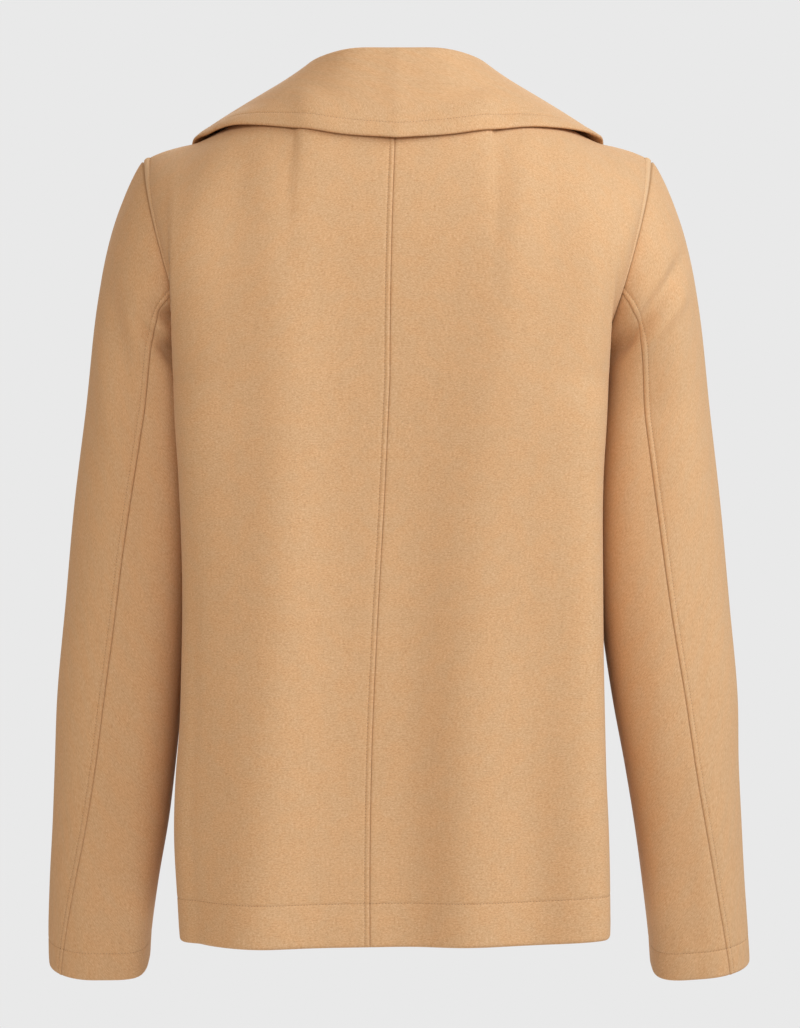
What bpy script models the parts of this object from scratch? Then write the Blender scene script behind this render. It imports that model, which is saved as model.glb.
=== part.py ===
"""Short double-breasted wool coat in its worn form, as closed cloth walls. Metres, +Z up.

The front faces -Y and the wearer's left is +X. The origin lies on the body's axis, level with
the nape, where the neck holds the coat up. Every panel is a patch of one body form or of one
sleeve form, with a wall of cloth round it.
"""

import math

import bmesh
import bpy
import numpy as np
from mathutils import Vector
from mathutils.bvhtree import BVHTree

# Cloth
CLOTH = 0.0025
TWO_PLY = 0.0040
TURN_UP = 0.0020
SEAM_GAP = 0.00035
SHOULDER_GAP = 0.0009
ROLL_GAP = 0.0014
LAYER_GAP = 0.0020
COLLAR_GAP = 0.0032
HEM_DEEP = 0.032
CUFF_DEEP = 0.022

# Body
HEM = -0.630
HEM_TILT = 0.010
UNDERARM = -0.212
BACK_BOXINESS = 5.0
FRONT_BOXINESS = 2.8
NECK_SIDE = 0.072
NECK_BACK = 0.065
NECK_FRONT = 0.075
NECK_SIDE_UP = 0.014
NECK_FRONT_UP = -0.030
SHOULDER = 0.195
NECK_LABEL = 0.315
PRESSED_FROM = -0.110
PRESSED_TO = 0.085
PRESS_EASE = 0.050
PRESS_ROUND = 0.002
ROLL_POWER = 2.6
BACK_ROUND = 0.385
FRONT_ROUND = 0.72

# Front opening
OVERLAP = 0.075
BREAK = -0.250
ROLL_TOP = (0.055, -0.003)
UNDER_LAYER = 0.0062
LAP_BEHIND = 0.055
LAP_RISE = 0.040
ROLL_LIFT = 0.0062
ROLL_LIFT_FROM = 0.012
ROLL_LIFT_REACH = 0.045
ROLL_LIFT_ABOVE = 0.020
ROLL_LIFT_RISE = 0.050
OVER_TOP = -0.052
OVER_FADE = 0.040
TUCK = 0.005

# Sleeve
BICEPS = -0.240
BICEPS_STEP = 0.020
CUFF = {1: -0.6615, -1: -0.6630}
CUFF_LEAN_FROM = -0.420
CUFF_LEAN_RUN = 0.220
CUFF_LEAN = {1: 0.16, -1: 0.11}
CUFF_TILT = {1: 0.0, -1: 0.08}

# Lapel
LAPEL_CURL = {1: 0.0032, -1: 0.0040}
LAPEL_SETTLE = {1: 0.014, -1: 0.030}
GORGE = 0.95
FOLD_SHARE = 0.3

# Buttons and pockets
BUTTON_RADIUS = 0.0125
BUTTON_THICK = 0.0045
BUTTON_SEAT = 0.0005
BUTTON_ACROSS = 0.058
BUTTON_LEVELS = (-0.285, -0.385, -0.485)
WELT_LONG = 0.150
WELT_WIDE = 0.028
WELT_TOP = (0.086, -0.345)
WELT_SLANT = math.radians(9)

SIDES = {1: "left", -1: "right"}

CAMEL = (0.61, 0.39, 0.21)
HORN = (0.16, 0.10, 0.06)


class Table:
    """Rows of named columns, read as smooth curves along the first column."""

    def __init__(self, names, *rows):
        values = np.array(sorted(rows))
        self.along = values[:, 0]
        self.columns = dict(zip(names, values.T))
        self.slopes = {name: np.gradient(self.columns[name], self.along) for name in names}

    def __call__(self, name, at):
        at = np.clip(at, self.along[0], self.along[-1])
        i = np.clip(np.searchsorted(self.along, at, side="right") - 1, 0, len(self.along) - 2)
        step = self.along[i + 1] - self.along[i]
        u = (at - self.along[i]) / step
        value, slope = self.columns[name], self.slopes[name]
        return (
            (1 + 2 * u) * (1 - u) ** 2 * value[i]
            + u * (1 - u) ** 2 * step * slope[i]
            + u * u * (3 - 2 * u) * value[i + 1]
            + u * u * (u - 1) * step * slope[i + 1]
        )


# Level sections of the body: half width, middle, reach to the back and to the front, and how
# far out the sides lie where the arms press them in.
BODY = Table(
    ("z", "half", "middle", "back", "front", "side"),
    (-0.630, 0.1638, 0.0031, 0.1460, 0.1340, 0.1900),
    (-0.600, 0.1650, 0.0030, 0.1450, 0.1335, 0.1840),
    (-0.550, 0.1656, 0.0045, 0.1440, 0.1330, 0.1740),
    (-0.510, 0.1655, 0.0053, 0.1430, 0.1325, 0.1650),
    (-0.470, 0.1650, 0.0046, 0.1420, 0.1315, 0.1580),
    (-0.430, 0.1650, 0.0043, 0.1410, 0.1310, 0.1545),
    (-0.370, 0.1655, 0.0040, 0.1400, 0.1300, 0.1515),
    (-0.285, 0.1670, 0.0045, 0.1390, 0.1295, 0.1500),
    (-0.240, 0.1690, 0.0045, 0.1390, 0.1290, 0.1495),
    (-0.212, 0.1700, 0.0040, 0.1390, 0.1280, 0.1500),
)

# Seam lines of the body: across position of the centre back seam, and the angles of the side
# seams behind the widest place.
SEAMS = Table(
    ("z", "centre_back", "left_side", "right_side"),
    (-0.630, 0.0200, 19.5, 33.0),
    (-0.560, 0.0200, 17.0, 30.5),
    (-0.480, 0.0185, 13.0, 24.0),
    (-0.400, 0.0150, 8.0, 14.5),
    (-0.300, 0.0095, 3.0, 5.0),
    (-0.212, 0.0055, 0.0, 0.0),
)

# The armhole, from the underarm (0) up to the shoulder point (1).
ARMHOLE_BACK = Table(
    ("up", "x", "y", "z"),
    (0.00, 0.1500, 0.000, -0.2120),
    (0.13, 0.1520, 0.030, -0.2000),
    (0.29, 0.1575, 0.058, -0.1750),
    (0.42, 0.1660, 0.074, -0.1480),
    (0.62, 0.1795, 0.066, -0.1030),
    (0.82, 0.1895, 0.036, -0.0665),
    (1.00, 0.1950, 0.000, -0.0418),
)
ARMHOLE_FRONT = Table(
    ("up", "x", "y", "z"),
    (0.00, 0.1500, 0.000, -0.2120),
    (0.13, 0.1510, -0.030, -0.1990),
    (0.29, 0.1530, -0.055, -0.1730),
    (0.42, 0.1590, -0.070, -0.1440),
    (0.62, 0.1700, -0.065, -0.1010),
    (0.82, 0.1850, -0.036, -0.0660),
    (1.00, 0.1950, 0.000, -0.0418),
)

# The shoulder seam's height, outwards from the neck, dipping a little under the collar's edge.
SHOULDER_LINE = Table(
    ("x", "z"),
    (0.072, 0.0140),
    (0.100, -0.0010),
    (0.130, -0.0175),
    (0.154, -0.0295),
    (0.166, -0.0312),
    (0.180, -0.0338),
    (0.195, -0.0418),
)

# Where the top of a column of cloth lies, by the column's share of the way to the side seam.
COLUMN_TOPS = Table(
    ("label", "x"),
    (0.000, 0.000),
    (0.200, 0.046),
    (0.315, 0.072),
    (0.500, 0.113),
    (0.700, 0.153),
    (0.850, 0.179),
    (1.000, 0.195),
)

# Soft upright folds of the back: where each crest runs, how proud it stands and how wide it is.
FOLDS = (
    Table(
        ("z", "x", "proud", "wide"),
        (-0.630, 0.1130, 0.0078, 0.034),
        (-0.500, 0.1000, 0.0076, 0.034),
        (-0.380, 0.0905, 0.0062, 0.031),
        (-0.230, 0.0850, 0.0036, 0.027),
        (-0.120, 0.0800, 0.0014, 0.024),
    ),
    Table(
        ("z", "x", "proud", "wide"),
        (-0.630, -0.0490, 0.0076, 0.035),
        (-0.500, -0.0490, 0.0070, 0.035),
        (-0.380, -0.0560, 0.0052, 0.034),
        (-0.230, -0.0680, 0.0032, 0.032),
        (-0.120, -0.0820, 0.0012, 0.026),
    ),
)

# The sleeve's axis and level sections.
SLEEVE = Table(
    ("z", "left_x", "left_half", "right_x", "right_half", "y", "deep"),
    (-0.670, 0.2322, 0.0366, 0.2362, 0.0365, -0.0350, 0.0505),
    (-0.646, 0.2318, 0.0380, 0.2345, 0.0369, -0.0300, 0.0510),
    (-0.597, 0.2275, 0.0406, 0.2294, 0.0379, -0.0190, 0.0520),
    (-0.550, 0.2217, 0.0432, 0.2244, 0.0397, -0.0090, 0.0535),
    (-0.503, 0.2175, 0.0450, 0.2189, 0.0424, -0.0010, 0.0550),
    (-0.456, 0.2141, 0.0464, 0.2139, 0.0464, 0.0030, 0.0570),
    (-0.380, 0.2078, 0.0464, 0.2074, 0.0462, 0.0050, 0.0610),
    (-0.300, 0.2022, 0.0450, 0.2022, 0.0448, 0.0030, 0.0650),
    (-0.240, 0.1990, 0.0415, 0.1990, 0.0415, 0.0000, 0.0670),
)

# The direction in which the sleeve leaves the armhole, by the share of the way round from the
# shoulder point (0) to the underarm (1), and how far it stands off the armhole's edge.
SLEEVE_START = Table(
    ("down", "x", "y", "z", "off"),
    (0.00, 0.52, 0.00, -0.87, 0.0012),
    (0.25, 0.64, 0.15, -0.76, 0.0015),
    (0.50, 0.60, 0.32, -0.73, 0.0020),
    (0.75, 0.42, 0.28, -0.86, 0.0028),
    (1.00, 0.14, 0.00, -0.99, 0.0033),
)

# Seam lines of the sleeve, as angles round it: 0 is outermost, 90 the back, -90 the front.
SLEEVE_SEAMS = Table(
    ("z", "left_back", "right_back", "front"),
    (-0.668, 54.0, 66.0, -112.0),
    (-0.617, 63.0, 72.0, -112.0),
    (-0.531, 75.0, 81.0, -110.0),
    (-0.438, 83.0, 87.0, -108.0),
    (-0.330, 89.0, 93.0, -108.0),
    (-0.240, 96.0, 100.0, -109.0),
)
ARMHOLE_SEAM_BACK = 104.0
ARMHOLE_SEAM_FRONT = -109.0

# The collar from the centre back (0) to its front end (1): the neck seam, the fold's crest and
# the leaf's edge.
COLLAR = Table(
    ("along", "neck_x", "neck_y", "neck_z", "crest_x", "crest_y", "crest_z",
     "edge_x", "edge_y", "edge_z"),
    (0.00, 0.000, 0.0650, 0.0035, 0.0000, 0.0710, 0.0365, 0.000, 0.1225, -0.0340),
    (0.20, 0.036, 0.0575, 0.0065, 0.0370, 0.0640, 0.0363, 0.057, 0.1120, -0.0295),
    (0.35, 0.057, 0.0405, 0.0125, 0.0580, 0.0430, 0.0325, 0.102, 0.0880, -0.0225),
    (0.50, 0.067, 0.0180, 0.0170, 0.0690, 0.0180, 0.0272, 0.140, 0.0450, -0.0235),
    (0.65, 0.069, -0.0060, 0.0178, 0.0718, -0.0080, 0.0245, 0.1575, 0.0000, -0.0262),
    (0.80, 0.065, -0.0270, 0.0120, 0.0672, -0.0300, 0.0178, 0.1560, -0.0480, -0.0440),
    (0.90, 0.060, -0.0380, 0.0060, 0.0620, -0.0410, 0.0108, 0.1490, -0.0720, -0.0590),
    (1.00, 0.053, -0.0470, -0.0010, 0.0550, -0.0500, 0.0022, 0.1380, -0.0930, -0.0720),
)
STAND_SHARE = 0.25
LEAF_FROM = 0.45
CREST_RADIUS = 0.0050
LEAF_BOW = 0.0012
COLLAR_END = (0.057, 0.001)
NOTCH = (0.101, -0.075)
NOTCH_SHARE = 0.62

# The lapel's width across from the roll line, upwards from the break (0).
LAPEL = Table(
    ("along", "wide"),
    (0.00, 0.004),
    (0.15, 0.034),
    (0.30, 0.064),
    (0.45, 0.090),
    (0.58, 0.107),
    (0.68, 0.115),
)
LAPEL_POINT = 0.68
LAPEL_NOTCH = 0.80
NOTCH_WIDE = 0.075


def ease(u):
    """Smooth step from 0 to 1."""
    u = np.clip(u, 0, 1)
    return u * u * (3 - 2 * u)


def mix(a, b, share):
    return a + (b - a) * share


def stack(x, y, z):
    return np.stack(np.broadcast_arrays(x, y, z), axis=-1)


# ---- The body's form ----


def folds(x, z):
    """How proud of the plain form the back's folds stand."""
    total = np.zeros(np.broadcast(x, z).shape)
    for fold in FOLDS:
        total = total + fold("proud", z) * np.exp(-(((x - fold("x", z)) / fold("wide", z)) ** 2))
    return total


def ring(angle, z):
    """The body's level section at z, where angle 0 is the left side and 90 degrees the back."""
    along, out = np.cos(angle), np.sin(angle)
    deep = np.where(out > 0, BODY("back", z), BODY("front", z))
    power = mix(FRONT_BOXINESS, BACK_BOXINESS, ease(out * 3))
    reach = (abs(along / BODY("half", z)) ** power + abs(out / deep) ** power) ** (-1 / power)
    x = BODY("middle", z) + reach * along
    y = reach * out
    pressed = ease((y - PRESSED_FROM) / PRESS_EASE) * ease((PRESSED_TO - y) / PRESS_EASE)
    past = abs(x) - BODY("side", z)
    past = (past + np.sqrt(past**2 + PRESS_ROUND**2)) / 2
    x = x - np.sign(x) * past * pressed
    return x, y + folds(x, z) * ease(out * 2)


def side_angle(side, z):
    """The side seam's angle, for the left side (1) or the right (-1)."""
    if side > 0:
        return np.radians(SEAMS("left_side", z))
    return np.pi - np.radians(SEAMS("right_side", z))


def centre_back_angle(z):
    return np.pi / 2 - (SEAMS("centre_back", z) - BODY("middle", z)) / BODY("back", z)


def edge_angle(x, z):
    """The angle at which the front's level section passes x."""
    off = x - BODY("middle", z)
    deep = BODY("front", z) * (1 - abs(off / BODY("half", z)) ** FRONT_BOXINESS) ** (1 / FRONT_BOXINESS)
    return np.arctan2(-deep, off)


def top_of(x, back):
    """Where the column that ends x out meets the shoulder seam or the neckline."""
    out = abs(x)
    inside = np.clip(out / NECK_SIDE, 0, 1)
    round_neck = np.sqrt(1 - inside**2)
    if back:
        neck_y, neck_z = NECK_BACK * round_neck, NECK_SIDE_UP * inside**2
    else:
        neck_y, neck_z = -NECK_FRONT * round_neck, mix(NECK_FRONT_UP, NECK_SIDE_UP, inside**2)
    on_shoulder = out >= NECK_SIDE
    return np.where(on_shoulder, 0, neck_y), np.where(on_shoulder, SHOULDER_LINE("z", out), neck_z)


def upper(label, angle, up, back):
    """The body above the underarm: up runs from 0 at the underarm to 1 at the shoulder seam or
    neckline, and label from 0 at the centre to 1 at the armhole."""
    armhole = ARMHOLE_BACK if back else ARMHOLE_FRONT
    side = np.where(np.cos(angle) < 0, -1.0, 1.0)
    low_x, low_y = ring(angle, np.full_like(up, UNDERARM))
    top_x = side * COLUMN_TOPS("x", label)
    off_centre = SEAMS("centre_back", UNDERARM)
    top_x = np.where(label < NECK_LABEL,
                     mix(low_x - off_centre, top_x, ease(label / NECK_LABEL)), top_x)
    top_y, top_z = top_of(top_x, back)
    roll = np.clip(1 - up**ROLL_POWER, 0, 1) ** (BACK_ROUND if back else FRONT_ROUND)
    x = mix(low_x, top_x, up**2)
    y = mix(top_y, low_y, roll)
    z = mix(UNDERARM, top_z, up)
    pull = ease((label - 0.45) / 0.55)
    plain_x = mix(armhole("x", 0.0), SHOULDER, up**2)
    plain_z = mix(UNDERARM, armhole("z", 1.0), up)
    return (
        x + side * pull * (armhole("x", up) - plain_x),
        y + pull * armhole("y", up),
        z + pull * (armhole("z", up) - plain_z),
    )


def body(angle_at, label, rise, back):
    """A point of the body form. rise runs from 0 at the hem to 1 at the underarm and 2 at the
    top, and angle_at gives the column's angle at a height."""
    z = mix(HEM, UNDERARM, np.clip(rise, 0, 1))
    low_x, low_y = ring(angle_at(z), z)
    up = np.clip(rise - 1, 0, 1)
    angle = angle_at(np.full_like(z, UNDERARM))
    high = upper(label, angle, up, back)
    low = rise <= 1
    low_z = z - HEM_TILT * low_x * np.clip(1 - rise, 0, 1) ** 2
    high_y = high[1]
    if back:
        level = np.full_like(angle, UNDERARM)
        fade = folds(high[0], high[2]) - folds(ring(angle, level)[0], level)
        high_y = high_y + fade * (1 - up**3)
    return stack(
        np.where(low, low_x, high[0]),
        np.where(low, low_y, high_y),
        np.where(low, low_z, high[2]),
    )


def back_surface(side):
    """The half back from its centre seam (across = 0) to the side seam (1)."""

    def surface(across, rise):
        def angle_at(z):
            return mix(centre_back_angle(z), side_angle(side, z), across)

        return body(angle_at, across, rise, back=True)

    return surface


def roll_line(side, x):
    """Height of the roll line of the front of that side, at x."""
    top_x, top_z = side * ROLL_TOP[0], ROLL_TOP[1]
    return mix(top_z, BREAK, (x - top_x) / (-side * OVERLAP - top_x))


def front_form(side):
    """The half front from its edge past the centre (across = 0) to the side seam (1), as if it
    went on up to a round neckline."""

    def surface(across, rise):
        def angle_at(z):
            from_edge = edge_angle(-side * OVERLAP, z)
            to_side = side_angle(side, z)
            if side < 0:
                to_side = to_side - 2 * np.pi
            return mix(from_edge, to_side, across)

        level = np.full_like(across, UNDERARM)
        label = abs(angle_at(level) + np.pi / 2) / (np.pi / 2)
        points = body(angle_at, label, rise, back=False)
        if side < 0:
            points[..., 1] -= over_layer(points[..., 0], points[..., 2])
        return points

    return surface


def over_layer(x, z):
    """How far the right front stands off, where it lies over the left front and its lapel."""
    lies_over = ease((x + OVERLAP + LAP_BEHIND) / LAP_RISE) * ease((OVER_TOP - z) / OVER_FADE)
    run = np.hypot(ROLL_TOP[0] + OVERLAP, ROLL_TOP[1] - BREAK)
    from_roll = (roll_line(-1, x) - z) * (ROLL_TOP[0] + OVERLAP) / run
    rolled = 1 - ease((from_roll - ROLL_LIFT_FROM) / ROLL_LIFT_REACH)
    over_lapel = ease((z - BREAK - ROLL_LIFT_ABOVE) / ROLL_LIFT_RISE)
    over_lapel = over_lapel * ease((OVER_TOP - z) / OVER_FADE)
    return UNDER_LAYER * lies_over + ROLL_LIFT * rolled * over_lapel


def front_surface(side):
    """The half front as it is cut: its top is the shoulder, the neckline and the roll line."""
    form = front_form(side)
    steps = np.linspace(0, 2, 401)
    places = np.linspace(0, 1, 161)
    grid = form(places[:, None], steps[None, :])
    tops = np.full(len(places), 2.0)
    for k, column in enumerate(grid):
        inside = side * column[:, 0] < ROLL_TOP[0]
        above = column[:, 2] - roll_line(side, column[:, 0])
        crossed = np.nonzero((above[:-1] < 0) & (above[1:] >= 0) & inside[1:])[0]
        if len(crossed):
            i = crossed[0]
            tops[k] = mix(steps[i], steps[i + 1], -above[i] / (above[i + 1] - above[i]))

    def surface(across, rise):
        return form(across, rise / 2 * np.interp(across, places, tops))

    return surface


# ---- The sleeve's form ----


def armhole_loop(turn):
    """The armhole, by the angle from the shoulder point: 180 degrees is the underarm, and a
    negative angle is on the front."""
    up = 1 - abs(turn) / np.pi
    front = turn < 0
    return [np.where(front, ARMHOLE_FRONT(name, up), ARMHOLE_BACK(name, up)) for name in "xyz"]


def sleeve_ring(side, turn, z):
    """The sleeve's level section at z, where turn 0 is outermost and 90 degrees the back."""
    word = SIDES[side]
    along, out = np.cos(turn), np.sin(turn)
    half, deep = SLEEVE(f"{word}_half", z), SLEEVE("deep", z)
    power = mix(2.0, 3.6, ease(-along * 3))
    reach = (abs(along / half) ** power + abs(out / deep) ** power) ** (-1 / power)
    return SLEEVE(f"{word}_x", z) + reach * along, SLEEVE("y", z) + reach * out


def sleeve_point(side, turn, fall):
    """fall runs from 0 at the armhole to 1 at the biceps and 2 at the cuff."""
    down = abs(turn) / np.pi
    start = armhole_loop(turn)
    start[0] = start[0] + SLEEVE_START("off", down)
    sign = np.sign(turn)
    leave = [SLEEVE_START("x", down), sign * SLEEVE_START("y", down), SLEEVE_START("z", down)]
    end_x, end_y = sleeve_ring(side, turn, np.full_like(turn, BICEPS))
    next_x, next_y = sleeve_ring(side, turn, np.full_like(turn, BICEPS - BICEPS_STEP))
    arrive = [(next_x - end_x) / BICEPS_STEP, (next_y - end_y) / BICEPS_STEP, -1.0]
    end = [end_x, end_y, BICEPS]
    length = np.sqrt(sum((b - a) ** 2 for a, b in zip(start, end)))
    u = np.clip(fall, 0, 1)
    high = [
        (1 + 2 * u) * (1 - u) ** 2 * a
        + u * (1 - u) ** 2 * length * t0
        + u * u * (3 - 2 * u) * b
        + u * u * (u - 1) * length * t1
        for a, t0, b, t1 in zip(start, leave, end, arrive)
    ]
    z = mix(BICEPS, CUFF[side], np.clip(fall - 1, 0, 1))
    low_x, low_y = sleeve_ring(side, turn, z)
    lean = ease((CUFF_LEAN_FROM - z) / CUFF_LEAN_RUN)
    low_z = z - lean * CUFF_LEAN[side] * (low_y - SLEEVE("y", z))
    low_z = low_z + lean * CUFF_TILT[side] * (low_x - SLEEVE(f"{SIDES[side]}_x", z))
    low = fall > 1
    return stack(
        side * np.where(low, low_x, high[0]),
        np.where(low, low_y, high[1]),
        np.where(low, low_z, high[2]),
    )


def sleeve_surface(side, under):
    """The upper sleeve from its front seam (across = 0) over the outside to its back seam (1),
    or the under sleeve from its back seam over the inside to its front seam."""

    def seam(name, at_armhole, fall):
        z = mix(BICEPS, CUFF[side], np.clip(fall - 1, 0, 1))
        high = mix(at_armhole, SLEEVE_SEAMS(name, BICEPS), np.clip(fall, 0, 1))
        return np.radians(np.where(fall > 1, SLEEVE_SEAMS(name, z), high))

    def surface(across, fall):
        back = seam(f"{SIDES[side]}_back", ARMHOLE_SEAM_BACK, fall)
        front = seam("front", ARMHOLE_SEAM_FRONT, fall)
        if under:
            turn = mix(back, front + 2 * np.pi, across)
        else:
            turn = mix(front, back, across)
        turn = np.where(turn > np.pi, turn - 2 * np.pi, turn)
        return sleeve_point(side, turn, fall)

    return surface


# ---- Walls of cloth ----


def normals_of(surface, across, rise):
    """Unit normals of a surface, from steps to both sides of each point."""
    step = 1e-4
    along = surface(np.clip(across + step, 0, 1), rise) - surface(np.clip(across - step, 0, 1), rise)
    up = surface(across, np.clip(rise + step, 0, 2)) - surface(across, np.clip(rise - step, 0, 2))
    cross = np.cross(along, up)
    return cross / np.linalg.norm(cross, axis=-1, keepdims=True)


def grid_normals(points):
    """Unit normals of a grid of points, from its neighbours."""
    cross = np.cross(np.gradient(points, axis=0), np.gradient(points, axis=1))
    return cross / np.maximum(np.linalg.norm(cross, axis=-1, keepdims=True), 1e-12)


def inset(points, gaps):
    """Draws a grid's four edges in by the gaps, given as (first row, last row, first column,
    last column)."""
    points = points.copy()
    for axis, (low, high) in ((0, gaps[:2]), (1, gaps[2:])):
        lines = np.moveaxis(points, axis, 0)
        for edge, inner, gap in ((0, 1, low), (-1, -2, high)):
            way = lines[inner] - lines[edge]
            long = np.linalg.norm(way, axis=-1, keepdims=True)
            lines[edge] += way / np.maximum(long, 1e-9) * gap
    return points


def wall(name, outer, inner, colour):
    """A closed wall between two grids of points."""
    rows, columns = outer.shape[:2]
    mesh = bmesh.new()
    sheets = [[[mesh.verts.new(point) for point in row] for row in grid] for grid in (outer, inner)]
    for sheet in sheets:
        for i in range(rows - 1):
            for j in range(columns - 1):
                mesh.faces.new((sheet[i][j], sheet[i][j + 1], sheet[i + 1][j + 1], sheet[i + 1][j]))
    rim = [(0, j) for j in range(columns - 1)]
    rim += [(i, columns - 1) for i in range(rows - 1)]
    rim += [(rows - 1, j) for j in range(columns - 1, 0, -1)]
    rim += [(i, 0) for i in range(rows - 1, 0, -1)]
    for (i, j), (k, m) in zip(rim, rim[1:] + rim[:1]):
        mesh.faces.new((sheets[0][i][j], sheets[0][k][m], sheets[1][k][m], sheets[1][i][j]))
    bmesh.ops.recalc_face_normals(mesh, faces=mesh.faces)
    bmesh.ops.triangulate(mesh, faces=mesh.faces)
    return as_object(name, mesh, colour)


def as_object(name, mesh, colour):
    data = bpy.data.meshes.new(name)
    mesh.to_mesh(data)
    mesh.free()
    data.shade_smooth()
    data.set_sharp_from_angle(angle=math.radians(40))
    data.materials.append(material(name, colour))
    made = bpy.data.objects.new(name, data)
    bpy.context.scene.collection.objects.link(made)
    return made


def material(name, colour):
    made = bpy.data.materials.new(name)
    made.use_nodes = True
    shader = made.node_tree.nodes["Principled BSDF"]
    shader.inputs["Base Color"].default_value = (*colour, 1.0)
    shader.inputs["Roughness"].default_value = 0.9
    shader.inputs["Metallic"].default_value = 0.0
    return made


def turned_out(points, normals, inside):
    """The normals, turned to point away from a point inside."""
    middle = points[points.shape[0] // 2, points.shape[1] // 2]
    facing = normals[points.shape[0] // 2, points.shape[1] // 2]
    return normals if np.dot(facing, middle - inside) > 0 else -normals


def panel(name, surface, across, rise, inside, turn_up, gaps):
    """A cloth panel on a surface, with a thicker wall on the rows of its turn-up."""
    across, rise = np.meshgrid(across, rise)
    normals = turned_out(surface(across, rise), normals_of(surface, across, rise), inside)
    points = inset(surface(across, rise), gaps)
    thick = np.where(turn_up(rise), CLOTH / 2 + TURN_UP, CLOTH / 2)[..., None]
    return wall(name, points + normals * CLOTH / 2, points - normals * thick, CAMEL)


# ---- Pieces ----


TURN_UP_STEP = 0.006
HEM_SHARE = HEM_DEEP / (UNDERARM - HEM)
BODY_RISE = np.concatenate([
    [0, HEM_SHARE, HEM_SHARE + TURN_UP_STEP],
    np.linspace(0.17, 1, 8),
    1 + np.array([0.15, 0.30, 0.45, 0.60, 0.73, 0.84, 0.92, 0.975, 1.0]),
])
BODY_ACROSS = np.array([0, 0.105, 0.21, 0.315, 0.42, 0.53, 0.64, 0.75, 0.87, 1.0])
FRONT_ACROSS = np.array(
    [0, 0.10, 0.20, 0.29, 0.35, 0.395, 0.43, 0.465, 0.505, 0.56, 0.635, 0.715, 0.80, 0.90, 1.0])


def in_hem(rise):
    return rise < HEM_SHARE + TURN_UP_STEP / 2


def body_panels():
    inside = np.array([0.0, 0.0, (HEM + UNDERARM) / 2])
    for side, word in SIDES.items():
        panel(f"back_{word}", back_surface(side), BODY_ACROSS, BODY_RISE, inside, in_hem,
              (0, SHOULDER_GAP, SEAM_GAP, SEAM_GAP))
        panel(f"front_{word}", front_surface(side), FRONT_ACROSS, BODY_RISE, inside, in_hem,
              (0, SHOULDER_GAP, 0, SEAM_GAP))


def sleeves():
    for side, word in SIDES.items():
        cuff_share = CUFF_DEEP / (BICEPS - CUFF[side])
        fall = np.concatenate([
            [0, 0.12, 0.28, 0.46, 0.64, 0.82],
            np.linspace(1, 2 - cuff_share - TURN_UP_STEP, 7),
            [2 - cuff_share, 2],
        ])

        def in_cuff(rows, cuff_share=cuff_share):
            return rows > 2 - cuff_share - TURN_UP_STEP / 2

        inside = np.array([side * SLEEVE("left_x", BICEPS), 0.0, BICEPS])
        gaps = (0, 0, SEAM_GAP, SEAM_GAP)
        panel(f"sleeve_top_{word}", sleeve_surface(side, under=False), np.linspace(0, 1, 14), fall,
              inside, in_cuff, gaps)
        panel(f"sleeve_under_{word}", sleeve_surface(side, under=True), np.linspace(0, 1, 8), fall,
              inside, in_cuff, gaps)


def fine_mesh(surface):
    across, rise = np.meshgrid(np.linspace(0, 1, 90), np.linspace(0, 2, 140))
    points = surface(across, rise)
    rows, columns = points.shape[:2]
    corners = [Vector(point) for point in points.reshape(-1, 3)]
    faces = [
        (i * columns + j, i * columns + j + 1, (i + 1) * columns + j + 1, (i + 1) * columns + j)
        for i in range(rows - 1)
        for j in range(columns - 1)
    ]
    return corners, faces


SHOULDER_CORE = -0.055
DEEPEST = 0.040


class Chest:
    """Finds the place of a piece that lies on the fronts and the backs."""

    def __init__(self, *surfaces):
        corners, faces = [], []
        for surface in surfaces:
            more_corners, more_faces = fine_mesh(surface)
            faces += [tuple(k + len(corners) for k in face) for face in more_faces]
            corners += more_corners
        self.tree = BVHTree.FromPolygons(corners, faces)

    def depths(self, x, z, otherwise=-NECK_FRONT):
        """The y of the front at each (x, z), or otherwise where the front doesn't reach."""
        found = np.broadcast_to(otherwise, x.shape).ravel().copy()
        for k, (a, b) in enumerate(zip(x.ravel(), z.ravel())):
            hit = self.tree.ray_cast(Vector((a, -1, b)), Vector((0, 1, 0)))[0]
            if hit is not None:
                found[k] = hit.y
        return found.reshape(x.shape)

    def lifted(self, points, clear):
        """The points, moved out where they come nearer to the body than clear or lie inside it."""
        out = points.copy().reshape(-1, 3)
        for k, point in enumerate(out):
            place, normal, _, _ = self.tree.find_nearest(Vector(point))
            way = Vector(point) - place
            inside = Vector((0, 0, min(place.z, SHOULDER_CORE) + SHOULDER_CORE))
            if normal.dot(place - inside) < 0:
                normal = -normal
            off = way.dot(normal)
            if way.length < clear or off < 0 and way.length < DEEPEST:
                out[k] = Vector(point) + normal * (clear - off)
        return out.reshape(points.shape)


def lapel_width(along):
    to_notch = mix(LAPEL("wide", LAPEL_POINT), NOTCH_WIDE,
                   (along - LAPEL_POINT) / (LAPEL_NOTCH - LAPEL_POINT))
    to_roll = mix(NOTCH_WIDE, 0, (along - LAPEL_NOTCH) / (GORGE - LAPEL_NOTCH))
    return np.where(along < LAPEL_POINT, LAPEL("wide", along),
                    np.where(along < LAPEL_NOTCH, to_notch, to_roll))


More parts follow.
